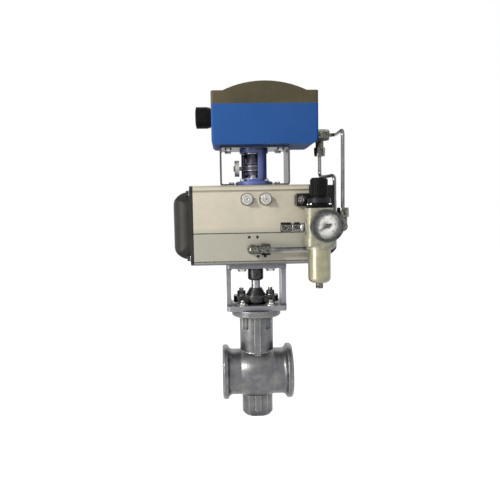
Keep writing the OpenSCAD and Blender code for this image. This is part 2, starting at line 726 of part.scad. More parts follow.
// Actuator body: one extrusion with crowned sides, fine grooves and a bored cylinder
module body_profile() {
    h = cylinder_h / 2;
    e = body_edge_r;
    side = [for (i = [0:10]) let (v = (h - e) - i * (2 * (h - e)) / 10) [side_at(v), v]];
    right = concat([[0, h]], arc([side_at(h - e) - e, h - e], e, 90, 15, 5), side,
        arc([side_at(h - e) - e, e - h], e, -15, -90, 5), [[0, -h]]);
    difference() {
        polygon(concat(right, flipped(right)));
        for (g = [[groove_top, groove_top_w], [-groove_middle, groove_w], [-groove_bottom, groove_w]])
            for (s = [-1, 1]) translate([s * side_at(g[0]), g[0]])
                square([2 * groove_depth, g[1]], center = true);
    }
}
module actuator_body() {
    color("gainsboro") at_stem(axis_z) difference() {
        extrude_x(cylinder_l) body_profile();
        along_x() cylinder(d = cylinder_bore, h = cylinder_l + 2, center = true, $fn = 96);
        cylinder(r = cam_r + 2.5, h = cam_pocket_top);
        cylinder(d = upper_journal_d + 2 * bush_wall + 2 * seated, h = cylinder_h);
        translate([0, 0, -cylinder_h]) cylinder(d = lower_journal_d + 2 * bush_wall + 2 * seated,
            h = cylinder_h);
        quad(bolt_xy, bolt_xy) translate([0, 0, -cylinder_h / 2 - 1])
            cylinder(d = bolt_d + 2 * seated, h = 13);
        quad(pattern_x / 2, pattern_y / 2) translate([0, 0, cylinder_h / 2 - 12])
            cylinder(d = 5 + 2 * seated, h = 13);
        for (a = [45:90:315]) rotate(a) translate([lantern_screw_r, 0, cylinder_h / 2 - 8])
            cylinder(d = 4 + 2 * seated, h = 9);
        for (s = [-1, 1]) translate([s * stop_x, 0, stop_z]) to_front()
            cylinder(d = stop_d + 2 * seated, h = cylinder_w);
        for (s = [-1, 1]) translate([s * stop_x, -side_at(stop_z) + 1.2, stop_z]) to_front()
            cylinder(d = 22, h = 8);
        translate([port_x, 0, port_z - cylinder_h / 2]) to_front()
            cylinder(d = union_d + 2 * seated, h = cylinder_w);
        translate([breather_x, 0, port_z - cylinder_h / 2]) to_front()
            cylinder(d = 10 + 2 * seated, h = cylinder_w);
        for (p = valve_pad_holes)
            translate([p[0], -side_at(p[1]) + 8, p[1]]) to_front() cylinder(d = 5, h = 10);
        for (sx = [0, 1]) mirror([sx, 0, 0]) cap_screw_holes();
    }
}
module cap_screw_holes() {
    for (sy = [-1, 1], sz = [-1, 1]) translate([cylinder_l / 2 - 20, sy * cap_screw_y, sz * cap_screw_z])
        along_x() cylinder(d = cap_screw_d + 2 * seated, h = 21);
}

// End cap: a flange on the body's outline and a round-edged dome hollowed at its corners
module end_cap() {
    x0 = cylinder_l / 2;
    flange_x = x0 + cap_flange_t;
    color([0.23, 0.22, 0.2]) difference() {
        union() {
            translate([x0 + cap_flange_t / 2, 0, 0]) extrude_x(cap_flange_t) intersection() {
                body_profile();
                rounded(cylinder_w - 1, cylinder_h, 14);
            }
            difference() {
                intersection() {
                    translate([flange_x, 0, 0]) extrude_x(2 * cap_dome_h)
                        rounded(cap_dome_w, cap_dome_w, 26);
                    extrude_y(cap_dome_w) rounded(2 * cap_end_x, cap_dome_w, cap_edge_r);
                    linear_extrude(cap_dome_w, center = true)
                        rounded(2 * cap_end_x, cap_dome_w, cap_edge_r);
                }
                translate([flange_x - 50, 0, 0]) cube([100, 200, 200], center = true);
                for (sy = [-1, 1], sz = [-1, 1])
                    translate([flange_x, sy * (cap_screw_y + 2), sz * (cap_screw_z + 2)])
                        along_x() cylinder(r = cap_scallop_r, h = cap_dome_h + 1);
            }
        }
        translate([x0 - 1, 0, 0]) along_x() cylinder(d = cap_room_d, h = spring_out - 12 - x0 + 1);
        translate([x0 - 1, 0, 0]) along_x() cylinder(d = spring_d + 8, h = spring_out - x0 + 1);
        for (sy = [-1, 1], sz = [-1, 1]) translate([x0 - 1, sy * cap_screw_y, sz * cap_screw_z])
            along_x() cylinder(d = cap_screw_d + 0.6, h = cap_flange_t + 2);
    }
}
module left_end_cap() { at_stem(axis_z) mirror([1, 0, 0]) end_cap(); }
module right_end_cap() { at_stem(axis_z) end_cap(); }
module end_cap_screws() {
    head_h = cap_screw_d;
    color("silver") at_stem(axis_z) for (sx = [0, 1], sy = [-1, 1], sz = [-1, 1])
        mirror([sx, 0, 0]) translate([cylinder_l / 2 + cap_flange_t, sy * cap_screw_y, sz * cap_screw_z])
            along_x() difference() {
                union() {
                    translate([0, 0, -cap_flange_t - 14]) cylinder(d = cap_screw_d, h = cap_flange_t + 14);
                    cylinder(d = cap_screw_d + 4, h = head_h);
                }
                translate([0, 0, head_h - 3]) hex_bar(5, 4);
            }
}

// Piston with its rack: the left one reaches behind the pinion, the right one in front of it
module piston() {
    r = cylinder_bore / 2;
    color("gainsboro") {
        difference() {
            translate([-piston_in - piston_t, 0, 0]) along_x()
                cylinder(r = r - running, h = piston_t, $fn = 96);
            translate([-piston_in - piston_t - 1, 0, 0]) along_x()
                cylinder(d = spring_d + 2, h = spring_seat + 1);
            translate([-piston_in - piston_t / 2 - 2, 0, 0]) along_x() difference() {
                cylinder(r = r + 1, h = 4, $fn = 96);
                translate([0, 0, -1]) cylinder(r = r - 4, h = 6, $fn = 96);
            }
        }
        intersection() {
            translate([-piston_in - 1, 0, 0]) along_x()
                cylinder(r = r - face_gap, h = piston_in + 1 + rack_reach, $fn = 96);
            linear_extrude(rack_w, center = true) rack_outline();
        }
    }
}
module rack_outline() {
    slope = tan(pressure_angle);
    half = tooth_pitch / 4 - backlash / 4;
    tip = half - tooth_module * slope;
    foot = half + 1.25 * tooth_module * slope;
    teeth = [for (i = [-2:4], p = [[-foot, rack_root_y], [-tip, pitch_r - tooth_module],
        [tip, pitch_r - tooth_module], [foot, rack_root_y]]) [(i + 0.5) * tooth_pitch + p[0], p[1]]];
    polygon(concat([[-piston_in - 1, cylinder_bore / 2], [-piston_in - 1, rack_root_y]], teeth,
        [[rack_reach, rack_root_y], [rack_reach, cylinder_bore / 2]]));
}
module piston_seal() {
    r = cylinder_bore / 2;
    color([0.1, 0.1, 0.1]) translate([-piston_in - piston_t / 2 - 2 + seated, 0, 0])
        along_x() ring(2 * (r - running), 2 * (r - 4 + seated), 4 - 2 * seated);
}
module left_piston() { at_stem(axis_z) piston(); }
module right_piston() { at_stem(axis_z) rotate(180) piston(); }
module left_piston_seal() { at_stem(axis_z) piston_seal(); }
module right_piston_seal() { at_stem(axis_z) rotate(180) piston_seal(); }

// Return spring: a round wire wound along the cylinder, from the piston to the end of the cap
module return_spring() {
    sides = 8;
    rings = 14 * spring_turns;
    r = (spring_d - spring_wire) / 2;
    length = spring_out - spring_in - spring_wire - 2 * face_gap;
    wire = spring_wire / 2;
    points = [for (i = [0:rings], j = [0:sides - 1])
        let (a = i * 360 * spring_turns / rings, b = j * 360 / sides, q = r + wire * cos(b))
        [i * length / rings + wire * sin(b), q * cos(a), q * sin(a)]];
    sheath = [for (i = [0:rings - 1], j = [0:sides - 1]) let (k = (j + 1) % sides)
        [i * sides + j, i * sides + k, (i + 1) * sides + k, (i + 1) * sides + j]];
    ends = [[for (j = [sides - 1:-1:0]) j], [for (j = [0:sides - 1]) rings * sides + j]];
    color("dimgray") translate([spring_in + spring_wire / 2 + face_gap, 0, 0])
        polyhedron(points, concat(sheath, ends));
}
module left_spring() { at_stem(axis_z) rotate(180) return_spring(); }
module right_spring() { at_stem(axis_z) return_spring(); }

// Pinion: involute teeth, two journals, a stop cam and a slotted end over the actuator
module pinion_outline() {
    rings = [for (i = [0:5]) base_r + (tip_r - base_r) * i / 5];
    polygon([for (t = [0:pinion_teeth - 1]) let (a = 90 + t * 360 / pinion_teeth)
        each concat([[root_r * cos(a - flank(base_r)), root_r * sin(a - flank(base_r))]],
            [for (r = rings) [r * cos(a - flank(r)), r * sin(a - flank(r))]],
            [for (i = [5:-1:0]) let (r = rings[i]) [r * cos(a + flank(r)), r * sin(a + flank(r))]],
            [[root_r * cos(a + flank(base_r)), root_r * sin(a + flank(base_r))]])]);
}
module drive_pinion() {
    low = -cylinder_h / 2 + face_gap;
    lower_end = -cylinder_bore / 2 + 1;
    upper_z = cam_pocket_top - 0.5;
    color("silver") at_stem(axis_z) difference() {
        union() {
            translate([0, 0, low]) cylinder(d = lower_journal_d, h = lower_end - low);
            translate([0, 0, lower_end]) cylinder(d = pinion_core_d, h = upper_z - lower_end);
            linear_extrude(pinion_face, center = true) pinion_outline();
            translate([0, 0, cam_z]) linear_extrude(cam_h)
                polygon(sector(cam_r, -stop_angle, 180 + stop_angle - open_turn, 24));
            translate([0, 0, upper_z - 1]) cylinder(d = upper_journal_d, h = cylinder_h / 2 - upper_z + 1);
            translate([0, 0, cylinder_h / 2]) cylinder(d = stub_d, h = stub_h);
        }
        translate([0, 0, low - 1]) square_bar(drive_square + 2 * running, drive_square_l + 2.5);
        translate([-stub_d, -stub_slot / 2, cylinder_h / 2 + stub_h - stub_slot])
            cube([2 * stub_d, stub_slot, stub_slot + 1]);
        translate([0, 0, cylinder_h / 2 + 2]) ring(stub_d + 2, stub_d - 2, 1.4);
    }
}
module pinion_bushes() {
    color("ivory") at_stem(yoke_top) {
        ring(lower_journal_d + 2 * bush_wall, lower_journal_d + 2 * running, wall_low - 1);
        translate([0, 0, cylinder_h - cam_roof + 0.3])
            ring(upper_journal_d + 2 * bush_wall, upper_journal_d + 2 * running, cam_roof - 0.3);
    }
}
module pinion_circlip() {
    color("dimgray") at_stem(cylinder_top + 2.1) linear_extrude(1.2) difference() {
        circle(d = stub_d + 5);
        circle(d = stub_d - 2 + 0.1);
        translate([0, 10]) square([4, 20], center = true);
    }
}
module stop_screws() {
    color("silver") at_stem(axis_z) for (s = [-1, 1]) translate([s * stop_x, -stop_tip, stop_z])
        to_front() difference() {
            cylinder(d = stop_d, h = side_at(stop_z) + stop_out - stop_tip);
            translate([0, 0, side_at(stop_z) + stop_out - stop_tip - 3]) hex_bar(4, 4);
        }
}
module stop_lock_nuts() {
    color("dimgray") at_stem(axis_z) for (s = [-1, 1])
        translate([s * stop_x, -side_at(stop_z) + 1.2, stop_z]) to_front() difference() {
            rotate(30) intersection() {
                hex_bar(17, 10);
                cylinder(d1 = 24, d2 = 17.5, h = 10);
            }
            translate([0, 0, -1]) cylinder(d = stop_d + 2 * seated, h = 12);
        }
}
module breather() {
    face = side_at(port_z - cylinder_h / 2 + 6) + seated;
    color("tan") at_stem(yoke_top + port_z) translate([breather_x, 0, 0]) to_front() {
        translate([0, 0, face - 10]) cylinder(d = 10, h = 10);
        translate([0, 0, face]) cylinder(d1 = 12, d2 = 8, h = 3);
    }
}

// Bracket: one bent sheet with turned-in feet, open at the front and the back
module top_bracket() {
    edge = bracket_w / 2;
    color("gainsboro") at_stem(cylinder_top) difference() {
        extrude_y(bracket_depth) difference() {
            translate([0, bracket_h / 2]) rounded(bracket_w, bracket_h, 5);
            translate([0, bracket_h / 2])
                rounded(bracket_w - 2 * bracket_t, bracket_h - 2 * bracket_t, 2.5);
            square([2 * (edge - foot_l), 3 * bracket_t], center = true);
        }
        translate([0, 0, bracket_h - bracket_t - 1]) cylinder(d = lantern_d - 12, h = bracket_t + 2);
        quad(pattern_x / 2, pattern_y / 2) translate([0, 0, -1]) cylinder(d = 5.6, h = bracket_t + 2);
        housing_screw_places() translate([0, 0, bracket_h - bracket_t - 1])
            cylinder(d = 6.6, h = bracket_t + 2);
    }
}
module housing_screw_places() {
    quad(housing_screws_x / 2, housing_screws_y / 2) children();
}
module lantern() {
    inner = lantern_d - 2 * lantern_wall;
    color([0.33, 0.41, 0.69]) at_stem(cylinder_top) difference() {
        union() {
            cylinder(d = lantern_d, h = bracket_h - bracket_t);
            cylinder(d = lantern_foot_d, h = lantern_foot_t - 1.5);
            translate([0, 0, lantern_foot_t - 1.5])
                cylinder(d1 = lantern_foot_d, d2 = lantern_foot_d - 3, h = 1.5);
        }
        translate([0, 0, -1]) cylinder(d = inner, h = bracket_h + 2);
        for (a = [[150, 285], [-30, 95]]) translate([0, 0, window_low]) linear_extrude(window_h)
            polygon(sector(lantern_d, a[0], a[1]));
        for (a = [45:90:315]) rotate(a) translate([lantern_screw_r, 0, -1])
            cylinder(d = 4.4, h = lantern_foot_t + 2);
    }
}
module mounting_screws() {
    color("silver") at_stem(cylinder_top) {
        quad(pattern_x / 2, pattern_y / 2) translate([0, 0, bracket_t]) hex_bolt(5, bracket_t + 10, 8, 3.5);
        for (a = [45:90:315]) rotate(a) translate([lantern_screw_r, 0, lantern_foot_t])
            hex_bolt(4, lantern_foot_t + 7, 7, 2.8);
        housing_screw_places() translate([0, 0, bracket_h - bracket_t]) rotate([180, 0, 0])
            hex_bolt(6, bracket_t + housing_wall - 1, 10, 4);
    }
}
// Feedback coupling: a hub that keys into the slotted shaft end, with two discs
module feedback_coupling() {
    stub_top = cylinder_top + stub_h - feedback_z;
    color([0.2, 0.2, 0.3]) at_stem(feedback_z) difference() {
        union() {
            cylinder(d = feedback_d, h = feedback_h - 10);
            translate([0, 0, 18]) cylinder(d = feedback_disc_d, h = 3);
            cylinder(d = feedback_d - 8, h = feedback_h);
            translate([0, 0, feedback_h - 4]) cylinder(d = feedback_disc_d, h = 4);
        }
        difference() {
            translate([0, 0, -1]) cylinder(d = stub_d + 2 * seated, h = stub_top + 1.1);
            translate([-stub_d, 0.05 - stub_slot / 2, stub_top - stub_slot + 0.3])
                cube([2 * stub_d, stub_slot - 0.1, stub_slot]);
        }
        translate([0, 0, feedback_h - 14]) cylinder(d = feedback_shaft_d + 2 * seated, h = 15);
    }
}
// Pointer: a clamp ring on the coupling, an arm through the window, a disc outside the lantern
module travel_pointer() {
    level = pointer_z - feedback_z;
    inside = lantern_d / 2 - lantern_wall;
    color("lightgray") at_stem(feedback_z) {
        difference() {
            translate([0, 0, level - 5]) cylinder(d = 2 * inside - 5, h = 9);
            translate([0, 0, level - 6]) cylinder(d = feedback_d + 2 * seated, h = 12);
        }
        translate([-pointer_reach + 1, 0, level]) along_x()
            cylinder(d = 7, h = pointer_reach - inside + 2.5);
        translate([-pointer_reach, 0, level]) along_x() cylinder(d = pointer_d, h = pointer_t);
        translate([-pointer_reach - 2, 0, level]) along_x() hex_bar(8, 3);
    }
}
module positioner_shaft() {
    start = feedback_z + feedback_h - 13.5;
    color("silver") at_stem(start) {
        cylinder(d = feedback_shaft_d, h = bracket_top + 26 - start);
        translate([0, 0, bracket_top + 20 - start]) cylinder(d = 26, h = 6);
    }
}

// Positioner housing and cover, cut from a front outline and a rounded plan
module plan_block(h, inset = 0) {
    translate([positioner_x, positioner_y, 0]) linear_extrude(h)
        rounded(positioner_w - 2 * inset, positioner_depth - 2 * inset, corner_plan_r - inset / 2);
}
module positioner_run() {
    translate([0, positioner_y, 0]) extrude_y(positioner_depth) children();
}
module housing_front(inset = 0) {
    left = -positioner_left + inset;
    right = positioner_right - inset;
    rl = corner_left_r - inset / 2;
    rr = corner_right_r - inset / 2;
    polygon(concat(arc([left + rl, inset + rl], rl, 180, 270), arc([right - rr, inset + rr], rr, 270, 360),
        [[right, housing_h + inset], [left, housing_h + inset]]));
}
module positioner_housing() {
    color([0.17, 0.34, 0.59]) at_stem(bracket_top) difference() {
        intersection() {
            positioner_run() housing_front();
            plan_block(housing_h);
        }
        intersection() {
            positioner_run() housing_front(housing_wall);
            plan_block(housing_h + 5, housing_wall);
        }
        translate([0, 0, -1]) cylinder(d = feedback_shaft_d + 2 * running, h = housing_wall + 2);
        translate([-positioner_left - 1, 0, conduit_z]) along_x() cylinder(d = conduit_d - 12, h = 10);
        for (p = [[outlet_y, outlet_z], [supply_y, supply_z]])
            translate([positioner_right - 6, p[0], p[1]]) along_x()
                cylinder(d = spigot_d + 2 * seated, h = 10);
        housing_screw_places() translate([0, 0, -1])
            cylinder(d = 6 + 2 * seated, h = housing_wall + 2);
    }
}
module cover_front(inset = 0) {
    left = -positioner_left + inset;
    right = positioner_right - inset;
    mid = (left + right) / 2;
    top = cover_h - inset;
    e = cover_corner_r;
    lift = asin(arch_w / 2 / arch_r);
    polygon(concat([[left, inset > 0 ? -1 : 0]], arc([left + e, top - e], e, 180, 90),
        arc([mid, cover_h + arch_rise - arch_r], arch_r - inset, 90 + lift, 90 - lift, 16),
        arc([right - e, top - e], e, 90, 0), [[right, inset > 0 ? -1 : 0]]));
}
module positioner_lid() {
    color([0.35, 0.32, 0.25]) at_stem(cover_z) difference() {
        intersection() {
            positioner_run() cover_front();
            plan_block(cover_h + arch_rise);
        }
        intersection() {
            translate([0, 0, -1]) positioner_run() cover_front(housing_wall);
            translate([0, 0, -1]) plan_block(cover_h + arch_rise, housing_wall);
        }
        lid_screw_places() translate([0, 0, cover_h - 5]) cylinder(d = 8.6, h = 9);
        lid_screw_places() translate([0, 0, -1]) cylinder(d = 4.4, h = cover_h + 9);
    }
}
module lid_screw_places() {
    translate([positioner_x, positioner_y, 0])
        quad(positioner_w / 2 - 10, positioner_depth / 2 - 9) children();
}
module lid_screws() {
    color("silver") at_stem(cover_z) lid_screw_places() {
        translate([0, 0, 1]) cylinder(d = 4, h = cover_h - 5);
        translate([0, 0, cover_h - 5]) cylinder(d = 8, h = 4);
    }
}
module circuit_board() {
    w = positioner_w * 0.6;
    depth = positioner_depth * 0.8;
    z = housing_h * 0.45;
    color("darkgreen") at_stem(bracket_top + z) difference() {
        translate([positioner_x - w / 2, positioner_y - depth / 2, 0]) cube([w, depth, 2]);
        translate([0, 0, -1]) cylinder(d = feedback_shaft_d + 4, h = 4);
    }
    color([0.15, 0.15, 0.15]) at_stem(bracket_top + housing_wall)
        translate([positioner_x, positioner_y, 0]) quad(w / 2 - 8, depth / 2 - 6)
            cylinder(d = 6, h = z - housing_wall);
}
module pilot_block() {
    w = positioner_w * 0.16;
    color("gray") at_stem(bracket_top + housing_wall)
        translate([positioner_right / 2, positioner_y - positioner_depth * 0.3, 0])
            cube([w, positioner_depth * 0.4, housing_h * 0.36]);
}
module conduit_plug() {
    color([0.1, 0.1, 0.1]) at_stem(bracket_top + conduit_z) translate([-positioner_left, 0, 0])
        mirror([1, 0, 0]) along_x() {
            translate([0, 0, -housing_wall])
                cylinder(d = conduit_d - 12 - 2 * seated, h = housing_wall + 1);
            cylinder(d = conduit_d - 3, h = 3);
            translate([0, 0, 3]) cylinder(d = conduit_d, h = conduit_l - 6);
            translate([0, 0, conduit_l - 3]) cylinder(d1 = conduit_d, d2 = conduit_d - 6, h = 3);
        }
}

// Air lines: bent steel tube, with square bends worked out from the corners of the route.
// A bend is a hair thicker than the straights, which run into it.
function unit(v) = v / norm(v);
module tube_route(p, r) {
    last = len(p) - 1;
    lap = 0.3;
    swell = 0.06;
    for (i = [0:last - 1]) {
        w = unit(p[i + 1] - p[i]);
        a = p[i] + w * (i > 0 ? r : 0);
        b = p[i + 1] - w * (i + 1 < last ? r : 0);
        translate(a - w * lap) rotate([0, acos(w[2]), atan2(w[1], w[0])])
            cylinder(d = tube_d, h = norm(b - a) + 2 * lap);
    }
    for (i = [1:last - 1]) {
        u = unit(p[i] - p[i - 1]);
        v = unit(p[i + 1] - p[i]);
        c = p[i] - r * u + r * v;
        n = cross(u, v);
        multmatrix([[-v[0], u[0], n[0], c[0]], [-v[1], u[1], n[1], c[1]], [-v[2], u[2], n[2], c[2]]])
            rotate_extrude(angle = 90) translate([r, 0]) circle(d = tube_d + swell);
    }
}
module signal_tube() {
    low = yoke_top + port_z;
    color("silver") at_stem() tube_route([[signal_x, outlet_y, bracket_top + outlet_z - union_reach - 4],
        [signal_x, outlet_y, signal_jog_z], [signal_low_x, tube_y, signal_jog_z],
        [signal_low_x, tube_y, low], [port_x + union_reach + 4, tube_y, low]], tube_bend);
}
module supply_tube() {
    high = bracket_top + supply_z;
    color("silver") at_stem() tube_route([[positioner_right + 12, supply_y, high],
        [supply_x, supply_y, high], [supply_x, -regulator_y, high],
        [supply_x, -regulator_y, regulator_axis_z + union_reach + 4]], tube_bend);
}
module elbow(leg) {
    translate([0, 0, -leg]) cylinder(d = spigot_d, h = leg);
    translate([0, 0, -leg / 2]) cylinder(d = elbow_d - 1, h = leg / 2);
    sphere(d = elbow_d);
    along_x() difference() {
        cylinder(d = union_d, h = union_reach + 6);
        translate([0, 0, union_reach + 3.5]) cylinder(d = tube_d + 2 * seated, h = 6);
    }
}
module tube_elbows() {
    color([0.12, 0.12, 0.12]) at_stem() {
        translate([port_x, tube_y, yoke_top + port_z]) to_front() elbow(port_reach + 8);
        translate([signal_x, outlet_y, bracket_top + outlet_z]) rotate([0, 90, 0])
            elbow(elbow_d / 2 + 5);
        translate([supply_x, -regulator_y, regulator_axis_z]) rotate([0, 90, 0]) mirror([1, 0, 0])
            elbow(supply_x - regulator_x - regulator_w / 2 + 8);
    }
}
module supply_connector() {
    color("silver") at_stem(bracket_top + supply_z) translate([positioner_right, supply_y, 0])
        along_x() difference() {
        union() {
            translate([0, 0, -6]) cylinder(d = spigot_d, h = 7);
            hex_bar(nut_af, 4.2);
            translate([0, 0, 4]) cylinder(d = union_d, h = 10);
        }
        translate([0, 0, 11.5]) cylinder(d = tube_d + 2 * seated, h = 6);
    }
}
module tube_nut() {
    difference() {
        intersection() {
            hex_bar(nut_af, nut_l);
            cylinder(d1 = nut_af * 1.3, d2 = nut_af * 1.05, h = nut_l);
        }
        translate([0, 0, -1]) cylinder(d = union_d + 2 * seated, h = nut_l - 4);
        cylinder(d = tube_d + 2 * seated, h = nut_l + 1);
    }
}
module tube_nuts() {
    color([0.15, 0.15, 0.15]) at_stem() {
        translate([port_x + union_reach, tube_y, yoke_top + port_z]) along_x() tube_nut();
        translate([signal_x, outlet_y, bracket_top + outlet_z - union_reach]) rotate([180, 0, 0]) tube_nut();
        translate([supply_x, -regulator_y, regulator_axis_z + union_reach]) tube_nut();
        translate([positioner_right + 4.5, supply_y, bracket_top + supply_z]) along_x() tube_nut();
    }
}

// Filter regulator: body with side ports, bonnet, lift-and-turn knob, bowl, drain and gauge
module at_regulator(z = 0) { at_stem(z) translate([regulator_x, -regulator_y, 0]) children(); }
module regulator_body() {
    color("gainsboro") at_regulator(regulator_base) difference() {
        union() {
            linear_extrude(regulator_h) rounded(regulator_w, regulator_depth, 8);
            translate([-regulator_w / 2 - 2, 0, regulator_port_z]) along_x()
                cylinder(d = 24, h = regulator_w + 4);
            translate([0, 0, -5]) cylinder(d = bowl_d + 4, h = 8);
        }
        translate([-regulator_w / 2 - 3, 0, regulator_port_z]) along_x()
            cylinder(d = 12 + 2 * seated, h = 15);
        translate([regulator_w / 2 - 12, 0, regulator_port_z]) along_x()
            cylinder(d = spigot_d + 2 * seated, h = 15);
        translate([gauge_x, 0, gauge_z - regulator_base]) to_front()
            cylinder(d = 9 + 2 * seated, h = regulator_depth);
        translate([0, 0, -6]) cylinder(d = bowl_d - 3 + 2 * seated, h = 12);
        translate([0, 0, regulator_h - 30]) cylinder(d = adjust_d + 2 * running, h = 31);
    }
}
module regulator_bonnet() {
    color([0.1, 0.1, 0.12]) at_regulator(bonnet_z) difference() {
        union() {
            linear_extrude(5) rounded(regulator_w - 5, regulator_depth - 4, 7);
            cylinder(d = bonnet_d, h = bonnet_h - 2);
            cylinder(d = bonnet_d - 6, h = bonnet_h);
        }
        translate([0, 0, -1]) cylinder(d = adjust_d + 2 * running, h = bonnet_h + 2);
    }
}
// Bracket: a plate behind the bonnet with a collar round it and a stand-off to the actuator
module regulator_bracket() {
    plate_y = -regulator_y + bonnet_d / 2 + 5;
    stand_x = 64;
    foot_z = bonnet_z + 3;
    plate_h = 34;
    edge_x = regulator_x + bonnet_d - 2;
    head_x = regulator_x - bonnet_d / 2 + 3;
    color([0.1, 0.1, 0.1]) at_stem() difference() {
        union() {
            translate([0, plate_y + 2, 0]) extrude_y(4) polygon([[stand_x, foot_z], [edge_x, foot_z],
                [edge_x, foot_z + plate_h], [head_x, foot_z + plate_h], [head_x, foot_z + 21],
                [stand_x, foot_z + 21]]);
            translate([stand_x, plate_y, foot_z + 2])
                cube([18, -side_at(foot_z + 2 - axis_z) - seated - plate_y, 17.5]);
            translate([regulator_x - 8, -regulator_y, foot_z + 5])
                cube([16, regulator_y + plate_y + 1, 7]);
            translate([regulator_x, -regulator_y, foot_z + 5]) cylinder(d = bonnet_d + 7, h = 7);
        }
        translate([regulator_x, -regulator_y, foot_z + 4])
            cylinder(d = bonnet_d + 2 * seated, h = 9);
    }
}
module adjusting_screw() {
    color("silver") at_regulator(bonnet_z - 8) {
        cylinder(d = adjust_d, h = bonnet_h + 8);
        translate([0, 0, bonnet_h + 8]) square_bar(adjust_square, 18);
    }
}
module regulator_knob() {
    color([0.08, 0.08, 0.09]) at_regulator(knob_z + face_gap) difference() {
        union() {
            cylinder(d = knob_d, h = knob_h - 3);
            translate([0, 0, knob_h - 3]) cylinder(d1 = knob_d, d2 = knob_d - 5, h = 3);
        }
        translate([0, 0, -1]) square_bar(adjust_square + 2 * running, 20);
        for (i = [0:23]) rotate(i * 15) translate([knob_d / 2, 0, -1])
            cylinder(d = 1.6, h = knob_h - 3, $fn = 16);
    }
}
module filter_bowl() {
    r = bowl_d / 2;
    color("silver") at_regulator(regulator_base) difference() {
        rotate_extrude() polygon(concat([[0, 5], [0, -bowl_h]],
            arc([r - 8, 8 - bowl_h], 8, -90, 0), [[r, -5], [r - 1.5, -5], [r - 1.5, 5]]));
        translate([0, 0, bowl_wall - bowl_h + 3]) cylinder(r = r - 1.5 - bowl_wall, h = bowl_h + 10);
        translate([0, 0, -bowl_h - 1]) cylinder(d = 6 + 2 * running, h = 12);
    }
}
module drain_screw() {
    color("gray") at_regulator(regulator_base - bowl_h) {
        translate([0, 0, -9]) cylinder(d = 12, h = 9 - face_gap);
        translate([0, 0, -1]) cylinder(d = 6, h = 8);
    }
}
module at_gauge() {
    at_regulator(gauge_z) translate([gauge_x, -gauge_back, 0]) to_front() children();
}
module gauge_case() {
    rim = gauge_d / 2;
    color([0.3, 0.3, 0.28]) at_gauge() difference() {
        union() {
            translate([0, 0, -16]) cylinder(d = 9, h = 17);
            translate([0, 0, -8 + seated]) hex_bar(14, 8);
            rotate_extrude() polygon(concat([[0, 0]], arc([rim - 4, 4], 4, -90, 0),
                [[rim, gauge_t - 1.5], [rim - 1.5, gauge_t], [0, gauge_t]]));
        }
        translate([0, 0, gauge_t - 6]) cylinder(d = gauge_d - 2 * gauge_rim, h = 7);
        translate([0, 0, gauge_t - 10]) cylinder(d = 2 + 2 * running, h = 10);
    }
}
module gauge_needle() {
    color("black") at_gauge() translate([0, 0, gauge_t - 10 + face_gap]) {
        cylinder(d = 2, h = 7.2);
        translate([0, 0, 5.2]) cylinder(d = 6, h = 1.5);
        translate([0, 0, 5.4]) linear_extrude(0.8)
            rotate(needle_angle) polygon([[-6, -1.6], [-6, 1.6], [2, 1], [16, 0.3], [16, -0.3], [2, -1]]);
    }
}
module gauge_lens() {
    color([0.85, 0.9, 0.92]) at_gauge() translate([0, 0, gauge_t - 2])
        cylinder(d = gauge_d - 2 * gauge_rim - 2 * seated, h = 1.6);
}
// Inlet: a nipple, a union and a nut with an open end for the supply tube
module inlet_fitting() {
    face = -regulator_w / 2 - 2;
    color([0.2, 0.2, 0.2]) at_regulator(regulator_axis_z) translate([face, 0, 0])
        mirror([1, 0, 0]) along_x() difference() {
            union() {
                translate([0, 0, -8]) cylinder(d = 12, h = 17);
                translate([0, 0, 8]) hex_bar(inlet_af, 8.5);
                translate([0, 0, 16]) cylinder(d = inlet_af - 3, h = 6);
                translate([0, 0, 21.5]) hex_bar(inlet_af, 16.5);
            }
            translate([0, 0, 22]) cylinder(d = inlet_tube_d + 2 * running, h = 17);
            translate([0, 0, -9]) cylinder(d = 6, h = 40);
        }
}

valve_body();
seat_ring();
seat_retainer();
eccentric_plug();
plug_shaft();
lower_guide_bush();
lower_pivot();
bottom_plug();
upper_guide_bush();
packing_rings();
gland_follower();
gland_flange();
gland_studs();
yoke();
yoke_bolts();
stem_coupling();
actuator_body();
left_end_cap();
right_end_cap();
end_cap_screws();
left_piston();
right_piston();
left_piston_seal();
right_piston_seal();
left_spring();
right_spring();
drive_pinion();
pinion_bushes();
pinion_circlip();
stop_screws();
stop_lock_nuts();
breather();
top_bracket();
lantern();
mounting_screws();
feedback_coupling();
travel_pointer();
positioner_shaft();
positioner_housing();
positioner_lid();
lid_screws();
circuit_board();
pilot_block();
conduit_plug();
tube_elbows();
supply_connector();
tube_nuts();
signal_tube();
supply_tube();
inlet_fitting();
regulator_body();
regulator_bonnet();
regulator_bracket();
adjusting_screw();
regulator_knob();
filter_bowl();
drain_screw();
gauge_case();
gauge_needle();
gauge_lens();
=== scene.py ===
import json
import math

import bmesh
import bpy
from mathutils import Matrix, Vector

